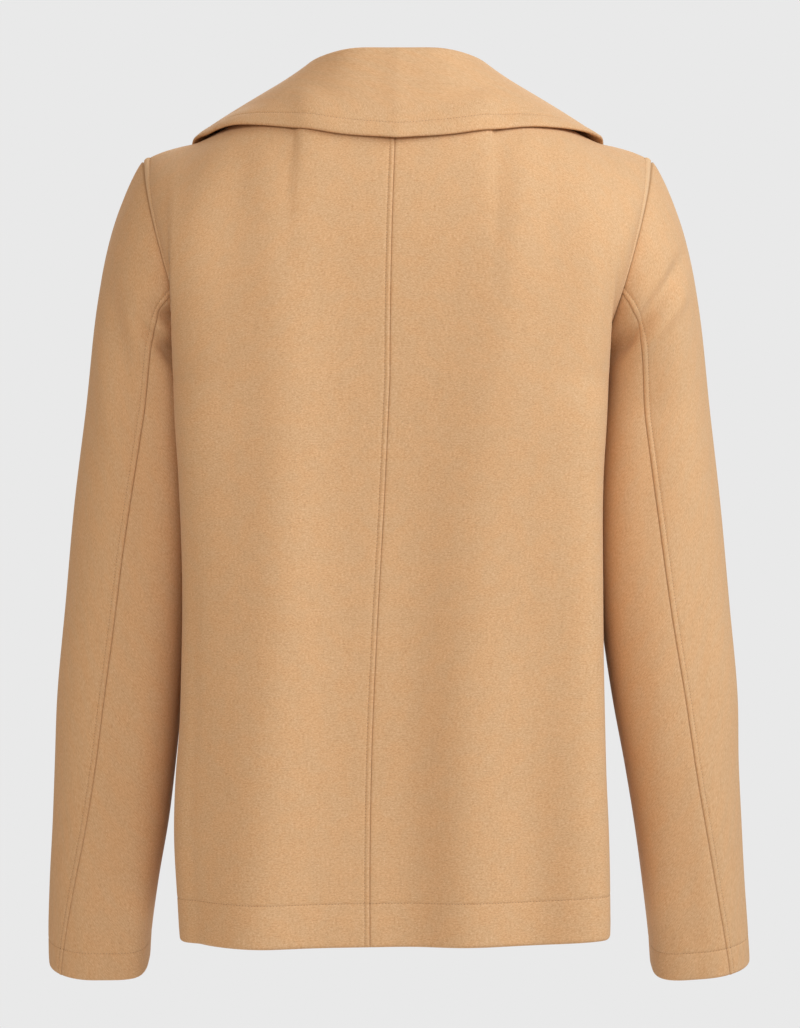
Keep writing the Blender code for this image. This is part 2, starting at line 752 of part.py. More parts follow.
def lapel_points(side, chest, along, across):
    """The lapel, along its roll line from the break (0) and across from the fold (0) to the
    outer edge (1). FOLD_SHARE of the rows goes round the fold. The left lapel ends where it runs
    in under the right front's roll line."""
    share, across = np.meshgrid(along, across, indexing="ij")
    turn = np.pi * np.clip(across / FOLD_SHARE, 0, 1)
    spread = np.clip((across - FOLD_SHARE) / (1 - FOLD_SHARE), 0, 1)
    along = share
    for _ in range(8 if side > 0 else 0):
        tucked = tuck_line(spread * lapel_width(along))
        along = np.maximum(share, mix(tucked, LAPEL_POINT, share / LAPEL_POINT))
    flat = spread * lapel_width(along)
    curl = LAPEL_CURL[side] * mix(0.5, 1.0, ease(along / 0.12))
    rest = CLOTH / 2 + LAYER_GAP + TWO_PLY / 2
    proud = np.where(across < FOLD_SHARE, curl * (1 - np.cos(turn)),
                     rest + (2 * curl - rest) * np.exp(-flat / LAPEL_SETTLE[side]))
    depth = chest.depths(*lapel_place(side, along, flat))
    x, z = lapel_place(side, along, flat - curl * np.sin(turn))
    points = stack(x, depth - proud, z)
    return np.where((across > FOLD_SHARE)[..., None], chest.lifted(points, rest), points)


def lapel_place(side, along, off):
    """(x, z) at a share of the roll line's length and a distance across from it."""
    low = np.array([-side * OVERLAP, BREAK])
    way = np.array([side * ROLL_TOP[0], ROLL_TOP[1]]) - low
    length = np.linalg.norm(way)
    way = way / length
    out = side * np.array([way[1], -way[0]])
    length = length / GORGE
    return (
        low[0] + along * length * way[0] + off * out[0],
        low[1] + along * length * way[1] + off * out[1],
    )


def tuck_line(off):
    """The left lapel's share along its roll line at which a line at that distance across from it
    runs in under the right front."""
    low_x, low_z = lapel_place(1, 0.0, off)
    high_x, high_z = lapel_place(1, 1.0, off)
    low_over = low_z - roll_line(-1, low_x) + TUCK
    high_over = high_z - roll_line(-1, high_x) + TUCK
    return np.clip(low_over / (low_over - high_over), 0, 0.9)


def ply_wall(name, points, thick):
    normals = grid_normals(points)
    return wall(name, points + normals * thick / 2, points - normals * thick / 2, CAMEL)


def lapels(chests):
    across = np.concatenate([np.linspace(0, FOLD_SHARE, 4), np.linspace(0.36, 1, 7)])
    for side, word in SIDES.items():
        along = np.concatenate([np.linspace(0, LAPEL_POINT, 7), [0.74, LAPEL_NOTCH, 0.86, 0.91]])
        points = lapel_points(side, chests[side], along, across)
        ply_wall(f"lapel_{word}", inset(points, (0, SEAM_GAP, ROLL_GAP, 0)), TWO_PLY)


def collar_section(row, across):
    """One section of the collar, from the neck seam (0) over the crest to the leaf's edge (1),
    as lines that touch the crest's round."""
    neck = np.array([COLLAR(f"neck_{axis}", row) for axis in "xyz"])
    crest = np.array([COLLAR(f"crest_{axis}", row) for axis in "xyz"])
    edge = np.array([COLLAR(f"edge_{axis}", row) for axis in "xyz"])
    centre = crest - np.array([0, 0, CREST_RADIUS])
    out = (edge - centre) * np.array([1, 1, 0])
    out = out / np.linalg.norm(out)
    neck_at = np.array([np.dot(neck - centre, out), neck[2] - centre[2]])
    edge_at = np.array([np.dot(edge - centre, out), edge[2] - centre[2]])

    def touching(point, way):
        far = np.linalg.norm(point)
        return math.atan2(point[1], point[0]) + way * math.acos(min(CREST_RADIUS / far, 1.0))

    leave = touching(edge_at, 1)
    reach = touching(neck_at, -1) % (2 * math.pi)
    stand_end = CREST_RADIUS * np.array([math.cos(reach), math.sin(reach)])
    leaf_start = CREST_RADIUS * np.array([math.cos(leave), math.sin(leave)])
    points = []
    for share in across:
        if share < STAND_SHARE:
            at = mix(neck_at, stand_end, share / STAND_SHARE)
        elif share < LEAF_FROM:
            angle = mix(reach, leave, (share - STAND_SHARE) / (LEAF_FROM - STAND_SHARE))
            at = CREST_RADIUS * np.array([math.cos(angle), math.sin(angle)])
        else:
            leaf = (share - LEAF_FROM) / (1 - LEAF_FROM)
            at = mix(leaf_start, edge_at, leaf)
            at = at + np.array([0.3, 1.0]) * LEAF_BOW * math.sin(math.pi * leaf)
        place = centre + out * at[0] + np.array([0, 0, at[1]])
        side_slip = (neck - centre) - out * np.dot(neck - centre, out)
        side_slip[2] = 0
        points.append(place + side_slip * max(0.0, 1 - share / STAND_SHARE))
    return np.array(points)


def collar_points(chest, along, across):
    """The left half of the collar. Towards its front end the leaf turns down to the notch."""
    points = np.array([collar_section(row, across) for row in along])
    leaf = np.clip((across - LEAF_FROM) / (1 - LEAF_FROM), 0, 1)
    crest = np.array(COLLAR_END)
    notch = np.array(NOTCH)
    tip = np.array([COLLAR("edge_x", 1.0), COLLAR("edge_z", 1.0)])
    first = np.clip(leaf / NOTCH_SHARE, 0, 1)[:, None]
    second = np.clip((leaf - NOTCH_SHARE) / (1 - NOTCH_SHARE), 0, 1)[:, None]
    end = crest + (notch - crest) * first + (tip - notch) * second
    straight = crest + (tip - crest) * leaf[:, None]
    rest = CLOTH / 2 + COLLAR_GAP + TWO_PLY / 2
    for k, row in enumerate(along):
        turned = ease((row - 0.70) / 0.30)
        laid = ease((row - 0.72) / 0.20) * ease(leaf / 0.25)
        points[k, :, 0] += turned * (end - straight)[:, 0]
        points[k, :, 2] += turned * (end - straight)[:, 1]
        if laid.max() > 0:
            x, y, z = points[k].T
            points[k, :, 1] = mix(y, chest.depths(x, z, otherwise=y + rest) - rest, laid)
    return points


def collar(chest):
    across = np.concatenate([
        [0, STAND_SHARE / 2],
        np.linspace(STAND_SHARE, LEAF_FROM, 5),
        np.linspace(0.53, 1, 6),
        [mix(LEAF_FROM, 1, NOTCH_SHARE)],
    ])
    across = np.sort(across)
    along = np.concatenate([np.linspace(0, 0.65, 7), [0.71, 0.77, 0.83, 0.89, 0.95, 1.0]])
    half = inset(collar_points(chest, along, across), (0, ROLL_GAP, 0, 0))
    mirrored = half[:0:-1] * np.array([-1, 1, 1])
    points = np.concatenate([mirrored, half])
    ends = abs(np.arange(len(points)) - len(along) + 1) >= np.searchsorted(along, 0.8)
    on_body = across > np.where(ends, 0.20, 0.30)[:, None]
    lifted = chest.lifted(points, CLOTH / 2 + COLLAR_GAP + TWO_PLY / 2)
    ply_wall("collar", np.where(on_body[..., None], lifted, points), TWO_PLY)


def welts(chests):
    """Slanted welts, laid on the fronts."""
    for side, word in SIDES.items():
        down = np.array([side * math.sin(WELT_SLANT), -math.cos(WELT_SLANT)])
        out = np.array([side * math.cos(WELT_SLANT), math.sin(WELT_SLANT)])
        start = np.array([side * WELT_TOP[0], WELT_TOP[1]])
        long, wide = np.meshgrid(np.linspace(0, WELT_LONG, 8), np.linspace(0, WELT_WIDE, 4),
                                 indexing="ij")
        x = start[0] + down[0] * long + out[0] * wide
        z = start[1] + down[1] * long + out[1] * wide
        points = stack(x, chests[side].depths(x, z), z)
        normals = turned_out(points, grid_normals(points), np.array([0, 0, start[1]]))
        points = points + normals * (CLOTH / 2 + LAYER_GAP / 2 + TWO_PLY / 2)
        ply_wall(f"pocket_welt_{word}", points, TWO_PLY)


def button(name, place, facing):
    """A round button with a raised rim, on its place and facing outwards."""
    profile = ((0, 0), (0.9, 0), (1.0, 0.3), (1.0, 0.8), (0.9, 1.0), (0.74, 0.72), (0, 0.68))
    mesh = bmesh.new()
    corners = [mesh.verts.new((r * BUTTON_RADIUS, 0, h * BUTTON_THICK)) for r, h in profile]
    for a, b in zip(corners, corners[1:]):
        mesh.edges.new((a, b))
    bmesh.ops.spin(mesh, geom=mesh.verts[:] + mesh.edges[:], cent=(0, 0, 0), axis=(0, 0, 1),
                   angle=2 * math.pi, steps=12)
    bmesh.ops.remove_doubles(mesh, verts=mesh.verts, dist=1e-6)
    bmesh.ops.recalc_face_normals(mesh, faces=mesh.faces)
    made = as_object(name, mesh, HORN)
    made.rotation_euler = Vector(facing).to_track_quat("Z", "Y").to_euler()
    made.location = place
    return made


def buttons(cloth):
    """Two columns of buttons on the piece of cloth that lies outermost."""
    mesh = bmesh.new()
    mesh.from_mesh(cloth.data)
    tree = BVHTree.FromBMesh(mesh)
    mesh.free()
    number = 0
    for z in BUTTON_LEVELS:
        for x in (-BUTTON_ACROSS, BUTTON_ACROSS):
            number += 1
            hit, facing, _, _ = tree.ray_cast(Vector((x, -1, z)), Vector((0, 1, 0)))
            button(f"button_{number}", hit + facing * BUTTON_SEAT, facing)


def main():
    for old in list(bpy.data.objects):
        bpy.data.objects.remove(old)
    body_panels()
    sleeves()
    chests = {
        1: Chest(front_form(1)),
        -1: Chest(front_form(-1)),
    }
    whole = Chest(front_form(1), front_form(-1), back_surface(1), back_surface(-1))
    lapels(chests)
    collar(whole)
    welts(chests)
    buttons(bpy.data.objects["front_right"])


main()
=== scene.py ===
"""The looks of a short double-breasted wool coat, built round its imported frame. Metres, +Z up.

The front faces -Y and the wearer's left is +X. Each cut piece of cloth is one closed thin shell,
laid out on the same body and sleeve forms as the frame, with its folds, seams and stitching.
"""

import math

import bmesh
import bpy
import numpy as np
from bpy.props import FloatProperty, FloatVectorProperty, PointerProperty
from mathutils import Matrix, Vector
from mathutils.bvhtree import BVHTree


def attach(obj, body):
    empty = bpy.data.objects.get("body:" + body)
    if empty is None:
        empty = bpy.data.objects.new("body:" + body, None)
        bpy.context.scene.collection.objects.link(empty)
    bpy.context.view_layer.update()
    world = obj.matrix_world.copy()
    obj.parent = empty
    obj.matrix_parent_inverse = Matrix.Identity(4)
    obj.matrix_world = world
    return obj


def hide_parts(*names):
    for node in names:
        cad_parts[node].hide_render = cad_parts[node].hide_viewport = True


bl_info = {
    "name": "Double-breasted wool coat",
    "version": (1, 0, 0),
    "blender": (4, 5, 0),
    "location": "View3D > Sidebar > Coat",
    "description": "Cuts, folds and stitches a camel wool coat in its worn form",
    "category": "Add Mesh",
}

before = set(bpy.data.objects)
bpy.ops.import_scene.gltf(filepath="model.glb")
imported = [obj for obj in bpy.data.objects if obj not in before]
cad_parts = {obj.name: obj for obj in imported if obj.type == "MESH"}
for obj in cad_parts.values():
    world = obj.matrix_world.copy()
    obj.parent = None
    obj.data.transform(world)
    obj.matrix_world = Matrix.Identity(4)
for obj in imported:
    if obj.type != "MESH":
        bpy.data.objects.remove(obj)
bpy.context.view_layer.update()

# Cloth
CLOTH = 0.0025
TWO_PLY = 0.0040
TURN_UP = 0.0020
LAYER_GAP = 0.0020
COLLAR_GAP = 0.0018
HEM_DEEP = 0.032
CUFF_DEEP = 0.022

# Body
HEM = -0.630
HEM_TILT = 0.010
HEM_LIFT = 0.0018
HEM_LIFT_FROM = 0.090
HEM_LIFT_RUN = 0.070
UNDERARM = -0.212
FRONT_BOXINESS = 2.8
NECK_SIDE = 0.072
NECK_BACK = 0.065
NECK_FRONT = 0.075
NECK_SIDE_UP = 0.014
NECK_FRONT_UP = -0.030
SHOULDER = 0.195
NECK_LABEL = 0.315
PRESSED_FROM = -0.110
PRESSED_TO = 0.085
PRESS_EASE = 0.050
PRESS_ROUND = 0.002
ROLL_POWER = 2.6
BACK_ROUND = 0.385
FRONT_ROUND = 0.72
ARMHOLE_PULL_FROM = 0.45
BACK_BLEND = 3
FOLD_BLEND = 2
CREASE_BLEND = 1.6

# Front opening
OVERLAP = 0.075
BREAK = -0.250
ROLL_TOP = (0.055, -0.003)
UNDER_LAYER = 0.0062
LAP_BEHIND = 0.055
LAP_RISE = 0.040
ROLL_LIFT = 0.0062
ROLL_LIFT_FROM = 0.012
ROLL_LIFT_REACH = 0.045
ROLL_LIFT_ABOVE = 0.020
ROLL_LIFT_RISE = 0.050
OVER_TOP = -0.052
OVER_FADE = 0.040
TUCK = 0.005
TUCK_MOST = 0.9

# Sleeve
BICEPS = -0.240
BICEPS_STEP = 0.020
CUFF = {1: -0.6615, -1: -0.6630}
CUFF_LEAN_FROM = -0.420
CUFF_LEAN_RUN = 0.220
CUFF_LEAN = {1: 0.16, -1: 0.11}
CUFF_TILT = {1: 0.0, -1: 0.08}
SLEEVE_ROUND = 2.0
SLEEVE_BOXINESS = 3.6
INNER_BLEND = 3

# Lapel
LAPEL_CURL = {1: 0.0032, -1: 0.0040}
LAPEL_SETTLE = {1: 0.014, -1: 0.030}
CURL_AT_BREAK = 0.5
CURL_RUN = 0.12
TUCK_ROUNDS = 8
LAPEL_SMOOTHING = (34, 14)
LAPEL_STITCH_FROM = 0.030
LAPEL_STITCH_RUN = 0.020
GORGE_GAP = 0.03
GORGE = 0.95
FOLD_SHARE = 0.3
LAPEL_POINT = 0.68
LAPEL_NOTCH = 0.80
NOTCH_WIDE = 0.075

# Collar
STAND_SHARE = 0.25
LEAF_FROM = 0.45
CREST_RADIUS = 0.0050
LEAF_BOW = 0.0012
LEAF_BOW_WAY = np.array([0.3, 1.0])
LEAF_TURNS_FROM = 0.70
LEAF_TURNS_RUN = 0.30
LEAF_LAID_FROM = 0.72
LEAF_LAID_RUN = 0.20
LEAF_LAID_BELOW = 0.25
COLLAR_SMOOTHING = (3, 2)
COLLAR_SETTLING = 5
END_SHARE = 0.8
LAID_AT_ENDS = 0.20
LAID_AT_BACK = 0.30
RIDGE_MIDDLE = -0.012
RIDGE_OUT = 0.136
RIDGE_WIDE = 0.020
RIDGE_PROUD = 0.0030
RIDGE_FADE = 0.030
COLLAR_INSET = (0.009, 0.003)
NECK_MIDDLE = np.array([0.0, 0.04, 0.0])
EDGE_PROUD = 0.0003
EDGE_PRESSED = 0.45
EDGE_PRESSED_RUN = 0.006
EDGE_LAID = 0.0010
EDGE_LAID_RUN = 0.012
LEAF_WIDE = 0.090
COLLAR_END = (0.057, 0.001)
NOTCH = (0.101, -0.075)
NOTCH_SHARE = 0.62

# Buttons and pockets
BUTTON_RADIUS = 0.0125
BUTTON_THICK = 0.0045
BUTTON_SEAT = 0.0005
BUTTON_ACROSS = 0.058
BUTTON_LEVELS = (-0.285, -0.385, -0.485)
BUTTON_FLOOR = 0.60
BUTTON_SHARP = math.radians(50)
STRAND_RADIUS = 0.00022
STRAND_RISE = 0.00045
STRAND_DIVE = 0.0016
STRAND_DIVES_FROM = 0.8
STRAND_CROSS = 0.0002
HOLE_OFF_BUTTON = 0.008
HOLE_HALF_LONG = 0.0110
HOLE_HALF_WIDE = 0.0013
HOLE_SQUARE = 0.6
HOLE_STEPS = 48
HOLE_STITCHES = {"Pitch": 0.00055, "Stitch length": 0.0021, "Turn": math.pi / 2, "Uneven": 0.05}
WELT_LONG = 0.150
WELT_WIDE = 0.028
WELT_TOP = (0.086, -0.345)
WELT_SLANT = math.radians(9)
WELT_INSET = (0.003, 0.001)

SIDES = {1: "left", -1: "right"}

# Evenly spread grid lines of each kind of piece, across and along it.
GRID = {
    "back": (52, 150),
    "front": (60, 140),
    "sleeve_top": (60, 150),
    "sleeve_under": (34, 150),
    "collar": (60, 190),
    "lapel": (50, 130),
    "pocket_welt": (12, 70),
}

# Places at which a form is looked at, across and along it.
FORM_PLACES = (181, 281)
FRONT_PLACES = (161, 401)
BODY_PLACES = (90, 140)
COLLAR_PLACES = (101, 81)
LAPEL_PLACES = (81, 141)
WELT_PLACES = (11, 41)


def curve(u, length, a, slope_a, b, slope_b):
    """A smooth curve over a length, from a at u = 0 to b at u = 1, with these slopes."""
    return (
        (1 + 2 * u) * (1 - u) ** 2 * a
        + u * (1 - u) ** 2 * length * slope_a
        + u * u * (3 - 2 * u) * b
        + u * u * (u - 1) * length * slope_b
    )


class Table:
    """Rows of named columns, read as smooth curves along the first column."""

    def __init__(self, names, *rows):
        values = np.array(sorted(rows))
        self.along = values[:, 0]
        self.columns = dict(zip(names, values.T))
        self.slopes = {name: np.gradient(self.columns[name], self.along) for name in names}

    def __call__(self, name, at):
        at = np.clip(at, self.along[0], self.along[-1])
        i = np.clip(np.searchsorted(self.along, at, side="right") - 1, 0, len(self.along) - 2)
        step = self.along[i + 1] - self.along[i]
        u = (at - self.along[i]) / step
        value, slope = self.columns[name], self.slopes[name]
        return curve(u, step, value[i], slope[i], value[i + 1], slope[i + 1])


# Level sections of the body: half width, middle, reach to the back and to the front, how far out
# the sides lie where the arms press them in, and how boxy the back is.
BODY = Table(
    ("z", "half", "middle", "back", "front", "side", "box"),
    (-0.630, 0.1594, 0.0018, 0.1440, 0.1340, 0.1900, 9.0),
    (-0.600, 0.1606, 0.0028, 0.1430, 0.1335, 0.1840, 9.0),
    (-0.550, 0.1614, 0.0046, 0.1420, 0.1330, 0.1740, 9.0),
    (-0.510, 0.1600, 0.0049, 0.1412, 0.1325, 0.1650, 9.0),
    (-0.470, 0.1580, 0.0039, 0.1405, 0.1315, 0.1580, 9.0),
    (-0.430, 0.1570, 0.0037, 0.1395, 0.1310, 0.1545, 9.0),
    (-0.370, 0.1563, 0.0036, 0.1385, 0.1300, 0.1515, 9.0),
    (-0.285, 0.1581, 0.0049, 0.1380, 0.1295, 0.1500, 8.5),
    (-0.240, 0.1610, 0.0050, 0.1385, 0.1290, 0.1495, 8.0),
    (-0.212, 0.1627, 0.0049, 0.1390, 0.1280, 0.1500, 6.5),
)

# Seam lines of the body: across position of the centre back seam, and the angles of the side
# seams behind the widest place.
SEAMS = Table(
    ("z", "centre_back", "left_side", "right_side"),
    (-0.630, 0.0200, 19.5, 33.0),
    (-0.560, 0.0200, 17.0, 30.5),
    (-0.480, 0.0185, 13.0, 24.0),
    (-0.400, 0.0150, 8.0, 14.5),
    (-0.300, 0.0095, 3.0, 5.0),
    (-0.212, 0.0055, 0.0, 0.0),
)

# The armhole, from the underarm (0) up to the shoulder point (1).
ARMHOLE_BACK = Table(
    ("up", "x", "y", "z"),
    (0.00, 0.1500, 0.000, -0.2120),
    (0.13, 0.1520, 0.033, -0.2000),
    (0.29, 0.1575, 0.065, -0.1750),
    (0.42, 0.1660, 0.085, -0.1480),
    (0.62, 0.1795, 0.078, -0.1030),
    (0.82, 0.1895, 0.044, -0.0665),
    (1.00, 0.1950, 0.000, -0.0418),
)
ARMHOLE_FRONT = Table(
    ("up", "x", "y", "z"),
    (0.00, 0.1500, 0.000, -0.2120),
    (0.13, 0.1510, -0.030, -0.1990),
    (0.29, 0.1530, -0.055, -0.1730),
    (0.42, 0.1590, -0.070, -0.1440),
    (0.62, 0.1700, -0.065, -0.1010),
    (0.82, 0.1850, -0.036, -0.0660),
    (1.00, 0.1950, 0.000, -0.0418),
)

# The shoulder seam's height, outwards from the neck, dipping a little under the collar's edge.
SHOULDER_LINE = Table(
    ("x", "z"),
    (0.072, 0.0140),
    (0.100, -0.0010),
    (0.130, -0.0175),
    (0.154, -0.0290),
    (0.166, -0.0314),
    (0.180, -0.0351),
    (0.195, -0.0409),
)

# Where the top of a column of cloth lies, by the column's share of the way to the side seam.
COLUMN_TOPS = Table(
    ("label", "x"),
    (0.000, 0.000),
    (0.200, 0.046),
    (0.315, 0.072),
    (0.500, 0.113),
    (0.700, 0.153),
    (0.850, 0.179),
    (1.000, 0.195),
)

# Soft upright folds of the back: where each crest runs, how proud it stands and how wide it is.
FOLDS = (
    Table(
        ("z", "x", "proud", "wide"),
        (-0.630, 0.1030, 0.0126, 0.035),
        (-0.500, 0.0930, 0.0126, 0.034),
        (-0.380, 0.0870, 0.0110, 0.030),
        (-0.230, 0.0845, 0.0072, 0.028),
        (-0.120, 0.0800, 0.0030, 0.025),
    ),
    Table(
        ("z", "x", "proud", "wide"),
        (-0.630, -0.0500, 0.0116, 0.034),
        (-0.500, -0.0500, 0.0108, 0.034),
        (-0.380, -0.0550, 0.0086, 0.034),
        (-0.230, -0.0680, 0.0058, 0.034),
        (-0.120, -0.0820, 0.0024, 0.030),
    ),
)

# The sleeve's axis and level sections.
SLEEVE = Table(
    ("z", "left_x", "left_half", "right_x", "right_half", "y", "deep"),
    (-0.670, 0.2322, 0.0366, 0.2362, 0.0365, -0.0350, 0.0505),
    (-0.646, 0.2318, 0.0380, 0.2345, 0.0369, -0.0300, 0.0510),
    (-0.597, 0.2275, 0.0406, 0.2294, 0.0379, -0.0190, 0.0520),
    (-0.550, 0.2217, 0.0432, 0.2244, 0.0397, -0.0090, 0.0535),
    (-0.503, 0.2175, 0.0450, 0.2189, 0.0424, -0.0010, 0.0550),
    (-0.456, 0.2141, 0.0464, 0.2139, 0.0464, 0.0030, 0.0570),
    (-0.380, 0.2075, 0.0461, 0.2053, 0.0482, 0.0050, 0.0610),
    (-0.300, 0.2016, 0.0449, 0.2001, 0.0462, 0.0030, 0.0650),
    (-0.240, 0.1981, 0.0412, 0.1981, 0.0416, 0.0000, 0.0670),
)

# The direction in which the sleeve leaves the armhole, by the share of the way round from the
# shoulder point (0) to the underarm (1), and how far it stands off the armhole's edge.
SLEEVE_START = Table(
    ("down", "x", "y", "z", "off"),
    (0.00, 0.52, 0.00, -0.87, 0.0012),
    (0.25, 0.64, 0.15, -0.76, 0.0015),
    (0.50, 0.60, 0.32, -0.73, 0.0020),
    (0.75, 0.42, 0.28, -0.86, 0.0028),
    (1.00, 0.14, 0.00, -0.99, 0.0033),
)

# Seam lines of the sleeve, as angles round it: 0 is outermost, 90 the back, -90 the front.
SLEEVE_SEAMS = Table(
    ("z", "left_back", "right_back", "front"),
    (-0.668, 54.0, 66.0, -112.0),
    (-0.617, 63.0, 72.0, -112.0),
    (-0.531, 75.0, 81.0, -110.0),
    (-0.438, 83.0, 87.0, -108.0),
    (-0.330, 89.0, 93.0, -108.0),
    (-0.240, 96.0, 100.0, -109.0),
)
ARMHOLE_SEAM_BACK = 104.0
ARMHOLE_SEAM_FRONT = -109.0

# The collar from the centre back (0) to its front end (1): the neck seam, the fold's crest and
# the leaf's edge.
COLLAR = Table(
    ("along", "neck_x", "neck_y", "neck_z", "crest_x", "crest_y", "crest_z",
     "edge_x", "edge_y", "edge_z"),
    (0.00, 0.000, 0.0650, 0.0035, 0.0000, 0.0710, 0.0365, 0.000, 0.1225, -0.0340),
    (0.20, 0.036, 0.0575, 0.0065, 0.0370, 0.0640, 0.0363, 0.057, 0.1120, -0.0295),
    (0.35, 0.057, 0.0405, 0.0125, 0.0580, 0.0430, 0.0325, 0.102, 0.0880, -0.0225),
    (0.50, 0.067, 0.0180, 0.0170, 0.0690, 0.0180, 0.0272, 0.140, 0.0450, -0.0235),
    (0.65, 0.069, -0.0060, 0.0178, 0.0718, -0.0080, 0.0245, 0.1575, 0.0000, -0.0262),
    (0.80, 0.065, -0.0270, 0.0120, 0.0672, -0.0300, 0.0178, 0.1560, -0.0480, -0.0440),
    (0.90, 0.060, -0.0380, 0.0060, 0.0620, -0.0410, 0.0108, 0.1490, -0.0720, -0.0590),
    (1.00, 0.053, -0.0470, -0.0010, 0.0550, -0.0500, 0.0022, 0.1380, -0.0930, -0.0720),
)

# The lapel's width across from the roll line, upwards from the break (0).
LAPEL = Table(
    ("along", "wide"),
    (0.00, 0.004),
    (0.15, 0.034),
    (0.30, 0.064),
    (0.45, 0.090),
    (0.58, 0.107),
    (0.68, 0.115),
)

# Folds of the body, each seen from one side: where it runs, how proud it stands and how wide it
# is. A negative height is a trough.
BODY_CREASES = (
    ("back", "upright", ((-0.620, 0.0050, 0.0008, 0.018), (-0.480, 0.0070, 0.0009, 0.018),
                         (-0.340, 0.0160, 0.0008, 0.020), (-0.220, 0.0200, 0.0, 0.020))),
    ("back", "upright", ((-0.200, 0.0960, 0.0, 0.014), (-0.120, 0.0950, 0.0010, 0.014),
                         (-0.070, 0.0970, 0.0013, 0.013), (-0.030, 0.1010, 0.0006, 0.012))),
    ("back", "upright", ((-0.220, -0.0740, 0.0, 0.012), (-0.120, -0.0860, 0.0016, 0.013),
                         (-0.060, -0.0930, 0.0018, 0.012), (-0.025, -0.0960, 0.0006, 0.010))),
    ("back", "upright", ((-0.640, -0.0100, -0.0064, 0.026), (-0.540, -0.0100, -0.0056, 0.026),
                         (-0.420, -0.0120, -0.0028, 0.026), (-0.280, -0.0180, 0.0, 0.024))),
    ("back", "upright", ((-0.640, -0.1030, -0.0048, 0.022), (-0.540, -0.1020, -0.0042, 0.022),
                         (-0.450, -0.1040, -0.0018, 0.022), (-0.340, -0.1080, 0.0, 0.022))),
    ("back", "upright", ((-0.640, 0.1560, -0.0090, 0.030), (-0.500, 0.1550, -0.0080, 0.028),
                         (-0.380, 0.1540, -0.0050, 0.026), (-0.260, 0.1540, 0.0, 0.022))),
    ("back", "upright", ((-0.640, -0.1500, 0.0036, 0.024), (-0.500, -0.1490, 0.0034, 0.023),
                         (-0.360, -0.1480, 0.0026, 0.022), (-0.230, -0.1480, 0.0, 0.020))),
    ("back", "upright", ((-0.190, -0.1560, 0.0, 0.008), (-0.150, -0.1590, -0.0024, 0.007),
                         (-0.128, -0.1570, -0.0024, 0.007), (-0.105, -0.1540, 0.0, 0.007))),
    ("front", "upright", ((-0.640, 0.1100, 0.0030, 0.024), (-0.500, 0.1120, 0.0024, 0.022),
                          (-0.300, 0.1150, 0.0010, 0.022), (-0.180, 0.1180, 0.0, 0.022))),
    ("front", "upright", ((-0.640, -0.1180, 0.0026, 0.026), (-0.470, -0.1160, 0.0018, 0.022),
                          (-0.300, -0.1150, 0.0006, 0.022), (-0.200, -0.1150, 0.0, 0.022))),
)

# Folds of the sleeves, on the left side (1) and the right (-1).
SLEEVE_CREASES = {
    1: (
        ("back", "level", ((0.1580, -0.1660, -0.0070, 0.0065), (0.1720, -0.1640, -0.0080, 0.0065),
                           (0.1810, -0.1600, -0.0050, 0.0060), (0.1930, -0.1540, 0.0, 0.0060))),
        ("back", "level", ((0.1580, -0.1900, -0.0090, 0.0095), (0.1720, -0.1890, -0.0090, 0.0090),
                           (0.1840, -0.1810, -0.0056, 0.0075), (0.1990, -0.1650, 0.0, 0.0060))),
        ("back", "upright", ((-0.270, 0.1960, 0.0, 0.011), (-0.210, 0.2046, -0.0032, 0.010),
                             (-0.170, 0.2120, -0.0036, 0.009), (-0.112, 0.2240, 0.0, 0.009))),
        ("back", "upright", ((-0.290, 0.2150, 0.0, 0.012), (-0.235, 0.2180, 0.0020, 0.010),
                             (-0.180, 0.2260, 0.0020, 0.009), (-0.125, 0.2320, 0.0, 0.009))),
        ("back", "upright", ((-0.560, 0.2300, 0.0, 0.016), (-0.480, 0.2260, -0.0018, 0.015),
                             (-0.400, 0.2220, -0.0016, 0.015), (-0.330, 0.2200, 0.0, 0.015))),
        ("back", "upright", ((-0.650, 0.2000, 0.0014, 0.012), (-0.560, 0.1980, 0.0020, 0.013),
                             (-0.460, 0.1900, 0.0018, 0.013), (-0.360, 0.1860, 0.0, 0.012))),
    ),
    -1: (
        ("back", "level", ((-0.2260, -0.1040, 0.0, 0.0080), (-0.2120, -0.1250, -0.0046, 0.0085),
                           (-0.1930, -0.1550, -0.0066, 0.0090), (-0.1790, -0.1740, -0.0080, 0.0090),
                           (-0.1560, -0.1930, -0.0100, 0.0090))),
        ("back", "level", ((-0.2280, -0.1360, 0.0, 0.0090), (-0.2110, -0.1520, 0.0030, 0.0090),
                           (-0.1920, -0.1780, 0.0030, 0.0090), (-0.1740, -0.2040, 0.0, 0.0090))),
        ("back", "upright", ((-0.330, -0.2250, 0.0, 0.014), (-0.240, -0.2200, 0.0020, 0.012),
                             (-0.160, -0.2080, 0.0020, 0.011), (-0.100, -0.1960, 0.0, 0.012))),
        ("back", "upright", ((-0.600, -0.2120, 0.0, 0.015), (-0.500, -0.2060, 0.0020, 0.015),
                             (-0.400, -0.1960, 0.0020, 0.013), (-0.300, -0.1900, 0.0, 0.012))),
        ("back", "upright", ((-0.560, -0.2420, 0.0, 0.014), (-0.460, -0.2330, -0.0018, 0.013),
                             (-0.360, -0.2240, -0.0018, 0.013), (-0.280, -0.2180, 0.0, 0.012))),
    ),
}

# Studio
FLOOR_LEVEL = -1.45
FLOOR_RADIUS = 5.4
SENSOR = 36.0
FOCAL_IN_HEIGHTS = 3896 / 1028
CAMERA_PLACE = (-0.0019, 3.0, -0.3124)
LAMP_AIM = (0.0, 0.0, -0.32)

